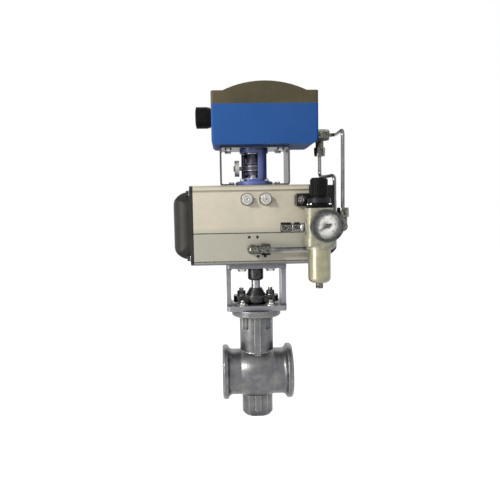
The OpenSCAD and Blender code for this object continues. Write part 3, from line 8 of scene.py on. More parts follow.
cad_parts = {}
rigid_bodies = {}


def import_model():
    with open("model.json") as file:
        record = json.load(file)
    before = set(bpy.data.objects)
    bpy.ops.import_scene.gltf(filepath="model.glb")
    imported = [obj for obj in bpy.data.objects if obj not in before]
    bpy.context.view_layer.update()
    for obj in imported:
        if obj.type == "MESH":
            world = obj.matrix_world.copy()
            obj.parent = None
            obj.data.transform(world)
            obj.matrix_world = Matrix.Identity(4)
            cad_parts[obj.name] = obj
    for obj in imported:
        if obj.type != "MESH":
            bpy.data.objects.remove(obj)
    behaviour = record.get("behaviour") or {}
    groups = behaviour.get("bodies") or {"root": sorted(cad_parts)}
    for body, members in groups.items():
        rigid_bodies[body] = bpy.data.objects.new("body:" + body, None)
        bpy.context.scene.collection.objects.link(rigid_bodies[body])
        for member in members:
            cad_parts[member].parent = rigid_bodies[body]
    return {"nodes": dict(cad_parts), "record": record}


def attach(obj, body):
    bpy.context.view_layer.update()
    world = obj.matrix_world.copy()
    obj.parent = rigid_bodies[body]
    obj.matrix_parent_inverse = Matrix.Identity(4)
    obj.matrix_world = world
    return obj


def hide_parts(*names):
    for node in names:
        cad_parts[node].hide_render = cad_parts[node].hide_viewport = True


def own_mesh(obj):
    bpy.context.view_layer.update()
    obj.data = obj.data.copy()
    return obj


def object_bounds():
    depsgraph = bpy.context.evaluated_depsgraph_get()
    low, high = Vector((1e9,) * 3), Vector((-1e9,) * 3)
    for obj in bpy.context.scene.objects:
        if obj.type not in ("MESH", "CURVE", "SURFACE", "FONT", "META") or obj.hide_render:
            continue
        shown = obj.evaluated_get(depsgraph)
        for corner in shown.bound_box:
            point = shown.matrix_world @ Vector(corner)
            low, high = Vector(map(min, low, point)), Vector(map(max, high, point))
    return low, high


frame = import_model()
cad_box = [list(v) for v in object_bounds()]
nodes = frame["nodes"]
scene = bpy.context.scene

# The foot of the stem's axis, in metres, on the level of the valve's middle line
STEM = Vector((0.062, 0.004, 0.0))
MM = 0.001
MAIN = "main_frame"
WHITE = (1, 1, 1, 1)

# Camera, placed where the photograph was taken from. The place is in metres, the lens in mm
CAMERA_PLACE = (0.0116, -0.909, 0.2942)
CAMERA_RIGHT = Vector((0.99879, -0.04632, -0.01645))
CAMERA_AHEAD = Vector((0.04484, 0.99569, -0.08121))
CAMERA_LENS = 36.85
CAMERA_SENSOR = 36


def rgb(r, g, b):
    """A colour written as it shows, 0 to 255, as the linear value that a shader takes."""
    part = [c / 255 for c in (r, g, b)]
    return tuple(c / 12.92 if c <= 0.04045 else ((c + 0.055) / 1.055) ** 2.4 for c in part) + (1.0,)


def set_camera():
    """The camera, square on its own right and ahead directions."""
    data = bpy.data.cameras.new("camera")
    data.sensor_width = CAMERA_SENSOR
    data.lens = CAMERA_LENS
    camera = bpy.data.objects.new("camera", data)
    scene.collection.objects.link(camera)
    right = CAMERA_RIGHT.normalized()
    back = -CAMERA_AHEAD.normalized()
    up = back.cross(right).normalized()
    turn = Matrix((right, up, back)).transposed().to_4x4()
    camera.matrix_world = Matrix.Translation(CAMERA_PLACE) @ turn
    scene.camera = camera


class NodeTree:
    """Short calls that add and join the nodes of one tree."""

    def __init__(self, tree):
        self.tree = tree

    def node(self, kind, **values):
        made = self.tree.nodes.new(kind)
        for key, value in values.items():
            setattr(made, key, value)
        return made

    def link(self, a, b):
        self.tree.links.new(a, b)

    def put(self, value, socket):
        """Gives a socket a plain value, or joins another socket to it."""
        if isinstance(value, bpy.types.NodeSocket):
            self.link(value, socket)
        else:
            socket.default_value = value

    def math(self, kind, a, b):
        made = self.node("ShaderNodeMath", operation=kind)
        self.put(a, made.inputs[0])
        self.put(b, made.inputs[1])
        return made.outputs[0]


def background_rays(tree):
    """1 for the rays that show the background: the camera's, reflections and those through glass."""
    path = tree.node("ShaderNodeLightPath")
    total = path.outputs["Is Camera Ray"]
    for kind in ("Is Glossy Ray", "Is Transmission Ray"):
        total = tree.math("MAXIMUM", total, path.outputs[kind])
    return total


def stage_floor():
    """A wide pale floor that keeps the shadow, shown white to the camera and to reflections."""
    reach = 12.0
    level = cad_box[0][2] - 0.5 * MM
    grey = (0.5, 0.5, 0.5, 1)
    glow_strength = 0.93
    mesh = bpy.data.meshes.new("floor")
    mesh.from_pydata([(-reach, -reach, level), (reach, -reach, level), (reach, reach, level),
                      (-reach, reach, level)], [], [(0, 1, 2, 3)])
    floor = bpy.data.objects.new("floor", mesh)
    scene.collection.objects.link(floor)
    mat = bpy.data.materials.new("floor_white")
    mat.use_nodes = True
    mat.node_tree.nodes.clear()
    tree = NodeTree(mat.node_tree)
    out = tree.node("ShaderNodeOutputMaterial")
    diffuse = tree.node("ShaderNodeBsdfDiffuse")
    diffuse.inputs["Color"].default_value = grey
    glow = tree.node("ShaderNodeEmission")
    glow.inputs["Color"].default_value = WHITE
    strength = tree.math("MULTIPLY", background_rays(tree), glow_strength)
    tree.link(strength, glow.inputs["Strength"])
    both = tree.node("ShaderNodeAddShader")
    tree.link(diffuse.outputs[0], both.inputs[0])
    tree.link(glow.outputs[0], both.inputs[1])
    tree.link(both.outputs[0], out.inputs["Surface"])
    floor.data.materials.append(mat)


def studio():
    """A white surround to the camera, reflections and glass, and a plain level of light."""
    room_tone = (0.9, 0.92, 1.0, 1)
    room_strength = 0.2
    world = bpy.data.worlds.new("studio")
    scene.world = world
    world.use_nodes = True
    world.node_tree.nodes.clear()
    tree = NodeTree(world.node_tree)
    out = tree.node("ShaderNodeOutputWorld")
    plain = tree.node("ShaderNodeBackground")
    plain.inputs["Color"].default_value = room_tone
    plain.inputs["Strength"].default_value = room_strength
    white = tree.node("ShaderNodeBackground")
    white.inputs["Color"].default_value = WHITE
    final = tree.node("ShaderNodeMixShader")
    tree.link(background_rays(tree), final.inputs["Fac"])
    tree.link(plain.outputs[0], final.inputs[1])
    tree.link(white.outputs[0], final.inputs[2])
    tree.link(final.outputs[0], out.inputs["Surface"])


def lamp(name, place, target, size, power, colour):
    """A soft square lamp at a place, aimed at a target."""
    data = bpy.data.lights.new(name, "AREA")
    data.size = size
    data.energy = power
    data.color = colour
    light = bpy.data.objects.new(name, data)
    light.location = place
    light.rotation_euler = (Vector(target) - Vector(place)).to_track_quat("-Z", "Y").to_euler()
    scene.collection.objects.link(light)


set_camera()
stage_floor()
studio()
lamp("key", place=(-0.95, -1.0, 0.92), target=(0.06, 0.0, 0.22), size=0.24, power=19.0,
     colour=(1.0, 0.98, 0.94))
lamp("side", place=(-1.05, -0.80, 0.12), target=(0.06, 0.0, 0.12), size=0.4, power=5.5,
     colour=(1.0, 0.97, 0.88))
lamp("fill", place=(1.3, -0.75, 0.35), target=(0.06, 0.0, 0.2), size=0.9, power=0.6,
     colour=(0.84, 0.88, 1.0))
lamp("rear", place=(0.3, 1.3, 1.1), target=(0.06, 0.0, 0.25), size=1.2, power=4,
     colour=(1.0, 1.0, 1.0))
scene.view_settings.view_transform = "Standard"

# Spans of a value over which a pattern goes from none to all of it
FLAT_TO_EDGE = (0.995, 0.9)
OPEN_TO_CORNER = (0.85, 0.25)
BLOTCH_SPAN = (0.35, 0.68)
SPECK_SPAN = (0.42, 0.72)
WEAR_SPAN = (0.38, 0.6)
GLOSS_SPAN = (0.25, 0.75)
CLOUD_SPAN = (0.4, 0.7)

# What the finishes have in common. WEAR_GRAIN is in mm
SPECK_SHARE = 0.28
WEAR_GRAIN = 3.5
LEAST_WEAR = 0.15
LEAST_ROUGHNESS = 0.04
COAT_ROUGHNESS = 0.18
NOISE_ROUGHNESS = 0.55
RAY_SAMPLES = 4


class Finish(NodeTree):
    """One procedural finish. Patterns read Object coordinates, in metres."""

    def __init__(self, name):
        self.mat = bpy.data.materials.new(name)
        self.mat.use_nodes = True
        self.mat.node_tree.nodes.clear()
        super().__init__(self.mat.node_tree)
        out = self.node("ShaderNodeOutputMaterial")
        self.skin = self.node("ShaderNodeBsdfPrincipled")
        self.link(self.skin.outputs["BSDF"], out.inputs["Surface"])
        self.place = self.node("ShaderNodeTexCoord").outputs["Object"]

    def along(self, axis):
        """How far along X, Y or Z a point lies."""
        split = self.node("ShaderNodeSeparateXYZ")
        self.link(self.place, split.inputs[0])
        return split.outputs[axis]

    def noise(self, grain, detail=3.0, stretch=(1, 1, 1)):
        """Noise with cells about grain mm across. A stretch over 1 makes them shorter that way."""
        move = self.node("ShaderNodeMapping")
        move.inputs["Scale"].default_value = stretch
        self.link(self.place, move.inputs["Vector"])
        made = self.node("ShaderNodeTexNoise")
        made.inputs["Scale"].default_value = 1 / (grain * MM)
        made.inputs["Detail"].default_value = detail
        made.inputs["Roughness"].default_value = NOISE_ROUGHNESS
        self.link(move.outputs[0], made.inputs["Vector"])
        return made.outputs["Fac"]

    def fit(self, value, span, least=0.0, most=1.0):
        """A value that goes from least to most over a span, and stays level outside it."""
        made = self.node("ShaderNodeMapRange")
        made.clamp = True
        for key, number in zip(("From Min", "From Max", "To Min", "To Max"), (*span, least, most)):
            made.inputs[key].default_value = number
        self.link(value, made.inputs["Value"])
        return made.outputs["Result"]

    def mix(self, amount, a, b):
        """A blend of two colours, each a socket or a value."""
        made = self.node("ShaderNodeMix", data_type="RGBA")
        self.link(amount, made.inputs[0])
        self.put(a, made.inputs[6])
        self.put(b, made.inputs[7])
        return made.outputs[2]

    def soft_edges(self, radius):
        """The normal over rounded edges, and how near an edge a point is."""
        bevel = self.node("ShaderNodeBevel", samples=RAY_SAMPLES)
        bevel.inputs["Radius"].default_value = radius
        shape = self.node("ShaderNodeNewGeometry")
        dot = self.node("ShaderNodeVectorMath", operation="DOT_PRODUCT")
        self.link(bevel.outputs[0], dot.inputs[0])
        self.link(shape.outputs["Normal"], dot.inputs[1])
        return bevel.outputs[0], self.fit(dot.outputs["Value"], FLAT_TO_EDGE)

    def hollows(self, reach):
        """How deep in a corner a point lies, 0 in the open to 1, as the mask for painted shade."""
        dark = self.node("ShaderNodeAmbientOcclusion", samples=RAY_SAMPLES)
        dark.inputs["Distance"].default_value = reach
        return self.fit(dark.outputs["AO"], OPEN_TO_CORNER)

    def bump(self, height, depth, normal=None):
        """A normal raised by a height pattern, on top of another normal if there is one."""
        made = self.node("ShaderNodeBump")
        made.inputs["Strength"].default_value = 1.0
        made.inputs["Distance"].default_value = depth
        self.link(height, made.inputs["Height"])
        if normal is not None:
            self.link(normal, made.inputs["Normal"])
        return made.outputs[0]

    def dress(self, values):
        """Sets the shader's inputs by name, and gives the finished material."""
        for key, value in values.items():
            self.put(value, self.skin.inputs[key])
        return self.mat


def surface(name, colour, shade, metallic, rough, swing, grain, stretch=(1, 1, 1), relief=0.01,
            blotch=12.0, edge_wear_and_glint=None, edge_mm=0.5, corner_shade=None, corner_shade_mm=6.0, coat=0.0, shine=0.5,
            mottle=1.0):
    """A finish from one recipe. Lengths are in millimetres.

    colour and shade blend in soft blotches, as far as mottle says. colour is a plain one, or a
    function that makes a pattern of colours. The edge colour is laid along edges, part wear and
    part painted highlight, and the corner colour is painted shade in corners. rough goes up and
    down by swing. A stretch over 1 makes the grain shorter that way, and one under 1 makes it
    longer."""
    f = Finish(name)
    fine = f.noise(grain, stretch=stretch)
    broad = f.noise(blotch, detail=4.0)
    base = colour(f) if callable(colour) else colour
    mixed = f.mix(f.fit(broad, BLOTCH_SPAN, 0.0, mottle), base, shade)
    skin = f.mix(f.fit(fine, SPECK_SPAN, 0.0, SPECK_SHARE), mixed, shade)
    normal, near = f.soft_edges(edge_mm * MM)
    # Painted shade in corners, darker the deeper the corner.
    if corner_shade:
        skin = f.mix(f.hollows(corner_shade_mm * MM), skin, corner_shade)
    # Colour along edges in patches, part wear and part painted highlight.
    if edge_wear_and_glint:
        patches = f.fit(f.noise(WEAR_GRAIN), WEAR_SPAN, LEAST_WEAR)
        skin = f.mix(f.math("MULTIPLY", near, patches), skin, edge_wear_and_glint)
    gloss = f.fit(fine, GLOSS_SPAN, max(rough - swing, LEAST_ROUGHNESS), min(rough + swing, 1.0))
    return f.dress({"Base Color": skin, "Metallic": metallic, "Roughness": gloss,
                    "Specular IOR Level": shine, "Coat Weight": coat,
                    "Coat Roughness": COAT_ROUGHNESS, "Normal": f.bump(fine, relief * MM, normal)})


def anodised_bands(f):
    """Painted light by height in metres: a warm upper half as painted sheen, a cooler lower
    half as painted shade, and a dark foot as painted shade.
    """
    shaded_foot_top = (0.199, 0.207)
    middle = (0.252, 0.264)
    height = f.along("Z")
    sheen_and_shade_halves = f.mix(f.fit(height, middle), rgb(180, 177, 164), rgb(209, 202, 183))
    return f.mix(f.fit(height, shaded_foot_top), rgb(112, 115, 122), sheen_and_shade_halves)


def pointer_tones(f):
    """A dark moulded ring with a pale arm to its left."""
    arm_to_ring = (0.0415, 0.0425)
    return f.mix(f.fit(f.along("X"), arm_to_ring), rgb(214, 214, 208), rgb(48, 44, 78))


# In the finishes below, the colour given for corners is painted shade, and the colour given for
# edges is part wear and part painted highlight.
finishes = {
    "cast_body": surface(
        "blasted_casting", rgb(124, 124, 122), rgb(74, 76, 90), metallic=0.85, rough=0.35,
        swing=0.1, grain=0.55, relief=0.05, blotch=15, edge_wear_and_glint=rgb(236, 236, 232), edge_mm=1.6,
        corner_shade=rgb(14, 14, 26), corner_shade_mm=20, mottle=0.6),
    "machined_steel": surface(
        "turned_steel", rgb(178, 178, 180), rgb(122, 123, 128), metallic=0.8, rough=0.24,
        swing=0.06, grain=0.3, stretch=(1, 1, 9), relief=0.008, blotch=8, edge_wear_and_glint=rgb(225, 225, 225),
        edge_mm=0.3),
    "plated_steel": surface(
        "zinc_plating", rgb(222, 220, 212), rgb(168, 168, 164), metallic=0.9, rough=0.26,
        swing=0.07, grain=0.4, relief=0.01, blotch=3, edge_wear_and_glint=rgb(232, 231, 226), edge_mm=0.5,
        corner_shade=rgb(80, 78, 72), corner_shade_mm=2.5),
    "bronze": surface(
        "bearing_bronze", rgb(176, 138, 82), rgb(140, 104, 58), metallic=1.0, rough=0.35,
        swing=0.08, grain=0.4, blotch=4),
    "ptfe": surface(
        "white_packing", rgb(226, 222, 208), rgb(206, 200, 184), metallic=0.0, rough=0.5,
        swing=0.08, grain=0.5, blotch=5),
    "dark_steel": surface(
        "blackened_steel", rgb(76, 76, 76), rgb(38, 38, 42), metallic=0.9, rough=0.36, swing=0.1,
        grain=0.5, relief=0.02, blotch=5, edge_wear_and_glint=rgb(176, 176, 172), edge_mm=0.8,
        corner_shade=rgb(20, 20, 24), corner_shade_mm=7),
    "yoke_steel": surface(
        "satin_steel", rgb(142, 142, 148), rgb(112, 113, 120), metallic=0.6, rough=0.34,
        swing=0.07, grain=0.35, stretch=(1, 1, 6), relief=0.012, blotch=14,
        edge_wear_and_glint=rgb(226, 226, 228), edge_mm=1.0, corner_shade=rgb(38, 39, 48), corner_shade_mm=16, mottle=0.4),
    "black_steel": surface(
        "black_oxide", rgb(40, 40, 42), rgb(26, 26, 28), metallic=0.7, rough=0.36, swing=0.08,
        grain=0.4, relief=0.012, blotch=8, edge_wear_and_glint=rgb(98, 98, 98), edge_mm=0.6, corner_shade=rgb(10, 10, 11),
        corner_shade_mm=4),
    # The actuator's warm and cool bands and its dark foot are painted sheen and painted shade.
    "anodised": surface(
        "brushed_anodised", anodised_bands, rgb(158, 155, 146), metallic=0.25, rough=0.42,
        swing=0.08, grain=0.35, stretch=(0.02, 1, 1), relief=0.006, blotch=38,
        edge_wear_and_glint=rgb(226, 224, 214), edge_mm=0.7, corner_shade=rgb(34, 32, 18), corner_shade_mm=3.2,
        mottle=0.22, shine=0.3),
    "cap_coat": surface(
        "charcoal_powder", rgb(44, 42, 37), rgb(30, 29, 26), metallic=0.1, rough=0.46, swing=0.07,
        grain=0.7, relief=0.03, blotch=20, edge_wear_and_glint=rgb(82, 79, 72), edge_mm=0.8, corner_shade=rgb(16, 15, 14),
        corner_shade_mm=6, shine=0.3),
    "bare_aluminium": surface(
        "milled_aluminium", rgb(198, 199, 198), rgb(176, 178, 178), metallic=1.0, rough=0.3,
        swing=0.07, grain=0.4, stretch=(1, 6, 1), relief=0.01, blotch=9),
    "seal_rubber": surface(
        "nitrile", rgb(26, 26, 27), rgb(17, 17, 18), metallic=0.0, rough=0.62, swing=0.08,
        grain=0.4, blotch=4),
    "spring_coat": surface(
        "coated_wire", rgb(70, 71, 74), rgb(50, 51, 54), metallic=0.6, rough=0.4, swing=0.08,
        grain=0.5, blotch=6, edge_wear_and_glint=rgb(120, 120, 122)),
    "sintered": surface(
        "sintered_bronze", rgb(98, 88, 66), rgb(64, 56, 40), metallic=0.9, rough=0.58, swing=0.12,
        grain=0.3, relief=0.09, blotch=2, corner_shade=rgb(58, 46, 28), corner_shade_mm=2),
    "bracket_steel": surface(
        "stainless_sheet", rgb(88, 87, 95), rgb(66, 65, 75), metallic=0.95, rough=0.34, swing=0.07,
        grain=0.3, stretch=(1, 1, 0.05), relief=0.008, blotch=18, edge_wear_and_glint=rgb(220, 220, 220),
        edge_mm=0.5, corner_shade=rgb(50, 50, 58), corner_shade_mm=8, mottle=0.35),
    "lantern_coat": surface(
        "lantern_blue", rgb(104, 122, 192), rgb(76, 90, 160), metallic=0.0, rough=0.34, swing=0.06,
        grain=0.8, relief=0.02, blotch=10, edge_wear_and_glint=rgb(132, 150, 206), edge_mm=0.5,
        corner_shade=rgb(20, 20, 44), corner_shade_mm=12, coat=0.3, mottle=0.5),
    "violet_plastic": surface(
        "dark_violet", rgb(58, 54, 88), rgb(42, 38, 66), metallic=0.0, rough=0.36, swing=0.06,
        grain=0.6, blotch=8, edge_wear_and_glint=rgb(104, 100, 140), corner_shade=rgb(16, 14, 28), corner_shade_mm=4),
    "pointer_moulding": surface(
        "pointer_moulding", pointer_tones, rgb(40, 38, 60), metallic=0.0, rough=0.4,
        swing=0.06, grain=0.6, blotch=9, corner_shade=rgb(20, 18, 30), corner_shade_mm=3, mottle=0.12),
    "housing_blue": surface(
        "blue_powder", rgb(51, 93, 158), rgb(43, 83, 148), metallic=0.0, rough=0.56, swing=0.05,
        grain=0.8, relief=0.02, blotch=60, edge_wear_and_glint=rgb(88, 128, 188), edge_mm=1.0,
        corner_shade=rgb(12, 18, 48), corner_shade_mm=14, mottle=0.4, shine=0.05),
    "cover_coat": surface(
        "umber_powder", rgb(90, 82, 62), rgb(74, 70, 54), metallic=0.0, rough=0.46, swing=0.05,
        grain=0.8, relief=0.025, blotch=40, edge_wear_and_glint=rgb(120, 112, 92), edge_mm=1.0,
        corner_shade=rgb(38, 34, 26), corner_shade_mm=5, shine=0.2),
    "board": surface(
        "circuit_green", rgb(30, 92, 52), rgb(22, 74, 42), metallic=0.0, rough=0.4, swing=0.06,
        grain=0.4, blotch=5),
    "black_plastic": surface(
        "black_moulding", rgb(15, 15, 16), rgb(10, 10, 11), metallic=0.0, rough=0.42, swing=0.08,
        grain=0.5, relief=0.02, blotch=9, edge_wear_and_glint=rgb(64, 64, 66), edge_mm=0.5, corner_shade=rgb(5, 5, 6),
        corner_shade_mm=3, shine=0.1),
    "tube_steel": surface(
        "drawn_tube", rgb(134, 134, 136), rgb(96, 97, 100), metallic=1.0, rough=0.22, swing=0.06,
        grain=0.3, stretch=(6, 6, 0.2), relief=0.006, blotch=16, corner_shade=rgb(92, 90, 84), corner_shade_mm=4),
    "black_fitting": surface(
        "burnished_fitting", rgb(132, 130, 120), rgb(24, 24, 27), metallic=0.95, rough=0.24,
        swing=0.08, grain=0.4, relief=0.012, blotch=3.2, edge_wear_and_glint=rgb(196, 195, 188), edge_mm=0.8,
        corner_shade=rgb(16, 16, 18), corner_shade_mm=5),
    "cast_aluminium": surface(
        "die_casting", rgb(182, 178, 158), rgb(138, 136, 124), metallic=0.45, rough=0.4,
        swing=0.08, grain=0.5, relief=0.025, blotch=8, edge_wear_and_glint=rgb(226, 224, 214), edge_mm=0.8,
        corner_shade=rgb(84, 80, 66), corner_shade_mm=5),
    "bowl_metal": surface(
        "polished_bowl", rgb(172, 167, 136), rgb(98, 102, 106), metallic=0.75, rough=0.3,
        swing=0.05, grain=0.35, stretch=(0.05, 0.05, 1), relief=0.006, blotch=16,
        edge_wear_and_glint=rgb(222, 220, 206), edge_mm=0.6, mottle=0.5),
    "gauge_metal": surface(
        "dark_gauge_ring", rgb(86, 89, 84), rgb(50, 53, 51), metallic=0.9, rough=0.26, swing=0.06,
        grain=0.4, relief=0.006, blotch=7, edge_wear_and_glint=rgb(150, 152, 142), edge_mm=0.6,
        corner_shade=rgb(20, 20, 19), corner_shade_mm=3),
    "needle_black": surface(
        "needle_enamel", rgb(22, 22, 24), rgb(16, 16, 18), metallic=0.0, rough=0.36, swing=0.05,
        grain=0.4, relief=0.002, blotch=4),
}


def window_glass():
    """Flat clear gauge window."""
    f = Finish("gauge_window")
    faint = (0.93, 0.95, 0.96, 1)
    tint = f.mix(f.noise(6, detail=2.0), faint, WHITE)
    return f.dress({"Base Color": tint, "Roughness": 0.05, "Alpha": 0.04, "Coat Weight": 0.4,
                    "Coat Roughness": 0.04})


def dial_white():
    """Enamelled dial with faint clouds in it."""
    f = Finish("dial_enamel")
    tone = f.mix(f.fit(f.noise(7), CLOUD_SPAN), rgb(255, 255, 250), rgb(246, 246, 238))
    ripple = f.bump(f.noise(0.6), 0.004 * MM)
    return f.dress({"Base Color": tone, "Roughness": 0.45, "Normal": ripple})


finishes["clear"] = window_glass()
dial_enamel = dial_white()
ink = surface(
    "dial_ink", rgb(58, 58, 60), rgb(74, 74, 78), metallic=0.0, rough=0.5, swing=0.05, grain=0.3,
    relief=0.001, blotch=3)

# Every node of the model takes the finish of its slot, but for those that have one of their own
slots = {part["node"]: part["material_slot"] for part in frame["record"]["subparts"]}
own_finish = {"travel_pointer": "pointer_moulding", "drain_screw": "black_fitting",
              "supply_connector": "black_fitting", "stem_coupling": "dark_steel"}
for name, thing in nodes.items():
    mat = finishes[own_finish.get(name, slots[name])]
    if not thing.data.materials:
        thing.data.materials.append(mat)
    for place in thing.material_slots:
        place.link = "DATA"
        place.material = mat


def solid(name, mesh, body, finish):
    """A new piece from its finished mesh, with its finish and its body."""
    thing = bpy.data.objects.new(name, mesh)
    scene.collection.objects.link(thing)
    thing.data.materials.clear()
    thing.data.materials.append(finish)
    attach(thing, body)
    return thing


def plain_mesh(holder):
    """What an object shows, as a plain mesh. The object goes, and its modifiers with it."""
    bpy.context.view_layer.update()
    graph = bpy.context.evaluated_depsgraph_get()
    mesh = bpy.data.meshes.new_from_object(holder.evaluated_get(graph))
    bpy.data.objects.remove(holder)
    return mesh


# Geometry Nodes trees for the parts that repeat
FLOAT, WHOLE, TRIPLE = "NodeSocketFloat", "NodeSocketInt", "NodeSocketVector"
SHAPE, MATERIAL = "NodeSocketGeometry", "NodeSocketMaterial"


class PartTree(NodeTree):
    """A Geometry Nodes tree that sets a part on every point, with named inputs for its sizes."""

    def __init__(self, name, **sizes):
        super().__init__(bpy.data.node_groups.new(name, "GeometryNodeTree"))
        self.socket("Geometry", "INPUT", SHAPE)
        kinds = dict(sizes, Turn=TRIPLE, Finish=MATERIAL)
        self.ids = {key: self.socket(key, "INPUT", kind).identifier for key, kind in kinds.items()}
        self.socket("Geometry", "OUTPUT", SHAPE)
        self.start = self.node("NodeGroupInput")
        self.end = self.node("NodeGroupOutput")

    def socket(self, name, side, kind):
        return self.tree.interface.new_socket(name, in_out=side, socket_type=kind)

    def take(self, key):
        return self.start.outputs[key]

    def share(self, value, factor):
        return self.math("MULTIPLY", value, factor)

    def circle(self, radius, sides):
        made = self.node("GeometryNodeCurvePrimitiveCircle")
        made.inputs["Resolution"].default_value = sides
        self.link(radius, made.inputs["Radius"])
        return made.outputs[0]

    def run_along(self, path, outline):
        """Draws an outline along a path, with closed ends."""
        run = self.node("GeometryNodeCurveToMesh")
        self.link(path, run.inputs["Curve"])
        self.link(outline, run.inputs["Profile Curve"])
        run.inputs["Fill Caps"].default_value = True
        return run.outputs[0]

    def strip_along(self, path, width, height):
        """Draws a rectangle along a path."""
        outline = self.node("GeometryNodeCurvePrimitiveQuadrilateral")
        self.link(width, outline.inputs["Width"])
        self.link(height, outline.inputs["Height"])
        return self.run_along(path, outline.outputs[0])

    def copies(self, points, shape, rotation):
        """A real copy of the shape on every point."""
        place = self.node("GeometryNodeInstanceOnPoints")
        self.link(points, place.inputs["Points"])
        self.link(shape, place.inputs["Instance"])
        self.link(rotation, place.inputs["Rotation"])
        real = self.node("GeometryNodeRealizeInstances")
        self.link(place.outputs[0], real.inputs[0])
        return real.outputs[0]

    def bars_along(self, path, *sides):
        """Count bars set evenly along a path. sides names the inputs for their three sizes."""
        places = self.node("GeometryNodeCurveToPoints", mode="COUNT")
        self.link(path, places.inputs["Curve"])
        self.link(self.take("Count"), places.inputs["Count"])
        size = self.node("ShaderNodeCombineXYZ")
        for i, side in enumerate(sides):
            self.link(self.take(side), size.inputs[i])
        bar = self.node("GeometryNodeMeshCube")
        self.link(size.outputs[0], bar.inputs["Size"])
        return self.copies(places.outputs["Points"], bar.outputs["Mesh"],
                           places.outputs["Rotation"])

    def set_on_points(self, shape):
        """Puts the shape on every point of the input, turned as Turn says, and ends the tree."""
        points = self.node("GeometryNodeMeshToPoints")
        self.link(self.take("Geometry"), points.inputs["Mesh"])
        spin = self.node("FunctionNodeEulerToRotation")
        self.link(self.take("Turn"), spin.inputs[0])
        paint = self.node("GeometryNodeSetMaterial")
        whole = self.copies(points.outputs[0], shape, spin.outputs[0])
        self.link(whole, paint.inputs["Geometry"])
        self.link(self.take("Finish"), paint.inputs["Material"])
        self.link(paint.outputs[0], self.end.inputs[0])
        return self


def ring_tree():
    """Washers and collars: a flat ring on every point. Outer and Inner are diameters."""
    sides = 36
    g = PartTree("ring_on_points", Outer=FLOAT, Inner=FLOAT, Thickness=FLOAT)
    total = g.math("ADD", g.take("Outer"), g.take("Inner"))
    wall = g.math("SUBTRACT", g.take("Outer"), g.take("Inner"))
    middle = g.circle(g.share(total, 0.25), sides)
    return g.set_on_points(g.strip_along(middle, g.share(wall, 0.5), g.take("Thickness")))


def thread_tree():
    """Screw threads: a small round ridge wound up every point."""
    steps_a_turn = 20
    ridge_sides = 5
    ridge_share = 0.36
    g = PartTree("thread_on_points", Radius=FLOAT, Length=FLOAT, Pitch=FLOAT)
    spiral = g.node("GeometryNodeCurveSpiral")
    spiral.inputs["Resolution"].default_value = steps_a_turn
    turns = g.math("DIVIDE", g.take("Length"), g.take("Pitch"))
    g.link(turns, spiral.inputs["Rotations"])
    g.link(g.take("Radius"), spiral.inputs["Start Radius"])
    g.link(g.take("Radius"), spiral.inputs["End Radius"])
    g.link(g.take("Length"), spiral.inputs["Height"])
    ridge = g.circle(g.share(g.take("Pitch"), ridge_share), ridge_sides)
    return g.set_on_points(g.run_along(spiral.outputs[0], ridge))


def rib_tree():
    """Grip ribs: bars set round a circle, standing along its axis."""
    sides = 96
    g = PartTree("ribs_round_points", Radius=FLOAT, Count=WHOLE, Depth=FLOAT, Width=FLOAT,
                 Length=FLOAT)
    round_path = g.circle(g.take("Radius"), sides)
    return g.set_on_points(g.bars_along(round_path, "Depth", "Length", "Width"))


def head_tree():
    """Screw heads: a short cone with the rim of a hexagon socket on it."""
    sides = 28
    top_share = 0.86
    socket_share = 0.5
    rim_share = 0.16
    g = PartTree("head_on_points", Diameter=FLOAT, Height=FLOAT)
    radius = g.share(g.take("Diameter"), 0.5)
    cone = g.node("GeometryNodeMeshCone")
    cone.inputs["Vertices"].default_value = sides
    g.link(g.share(radius, top_share), cone.inputs["Radius Top"])
    g.link(radius, cone.inputs["Radius Bottom"])
    g.link(g.take("Height"), cone.inputs["Depth"])
    hexagon = g.circle(g.share(radius, socket_share), sides=6)
    rim = g.share(radius, rim_share)
    lift = g.node("ShaderNodeCombineXYZ")
    g.link(g.take("Height"), lift.inputs[2])
    raised = g.node("GeometryNodeTransform")
    g.link(g.strip_along(hexagon, rim, rim), raised.inputs["Geometry"])
    g.link(lift.outputs[0], raised.inputs["Translation"])
    both = g.node("GeometryNodeJoinGeometry")
    g.link(cone.outputs["Mesh"], both.inputs[0])
    g.link(raised.outputs[0], both.inputs[0])
    return g.set_on_points(both.outputs[0])


def tick_tree():
    """Dial marks: bars set along an arc, pointing at its middle."""
    steps = 128
    g = PartTree("ticks_on_arc", Radius=FLOAT, Count=WHOLE, Start=FLOAT, Sweep=FLOAT,
                 Length=FLOAT, Width=FLOAT, Height=FLOAT)
    arc = g.node("GeometryNodeCurveArc")
    arc.inputs["Resolution"].default_value = steps
    g.link(g.take("Radius"), arc.inputs["Radius"])
    g.link(g.take("Start"), arc.inputs["Start Angle"])
    g.link(g.take("Sweep"), arc.inputs["Sweep Angle"])
    return g.set_on_points(g.bars_along(arc.outputs[0], "Length", "Height", "Width"))


RINGS = ring_tree()
THREADS = thread_tree()
RIBS = rib_tree()
HEADS = head_tree()
TICKS = tick_tree()

QUARTER = math.pi / 2
UPRIGHT = (0, 0, 0)
TO_FRONT = (QUARTER, 0, 0)
TO_RIGHT = (0, QUARTER, 0)
TO_LEFT = (0, -QUARTER, 0)
WELD = 0.0001 * MM


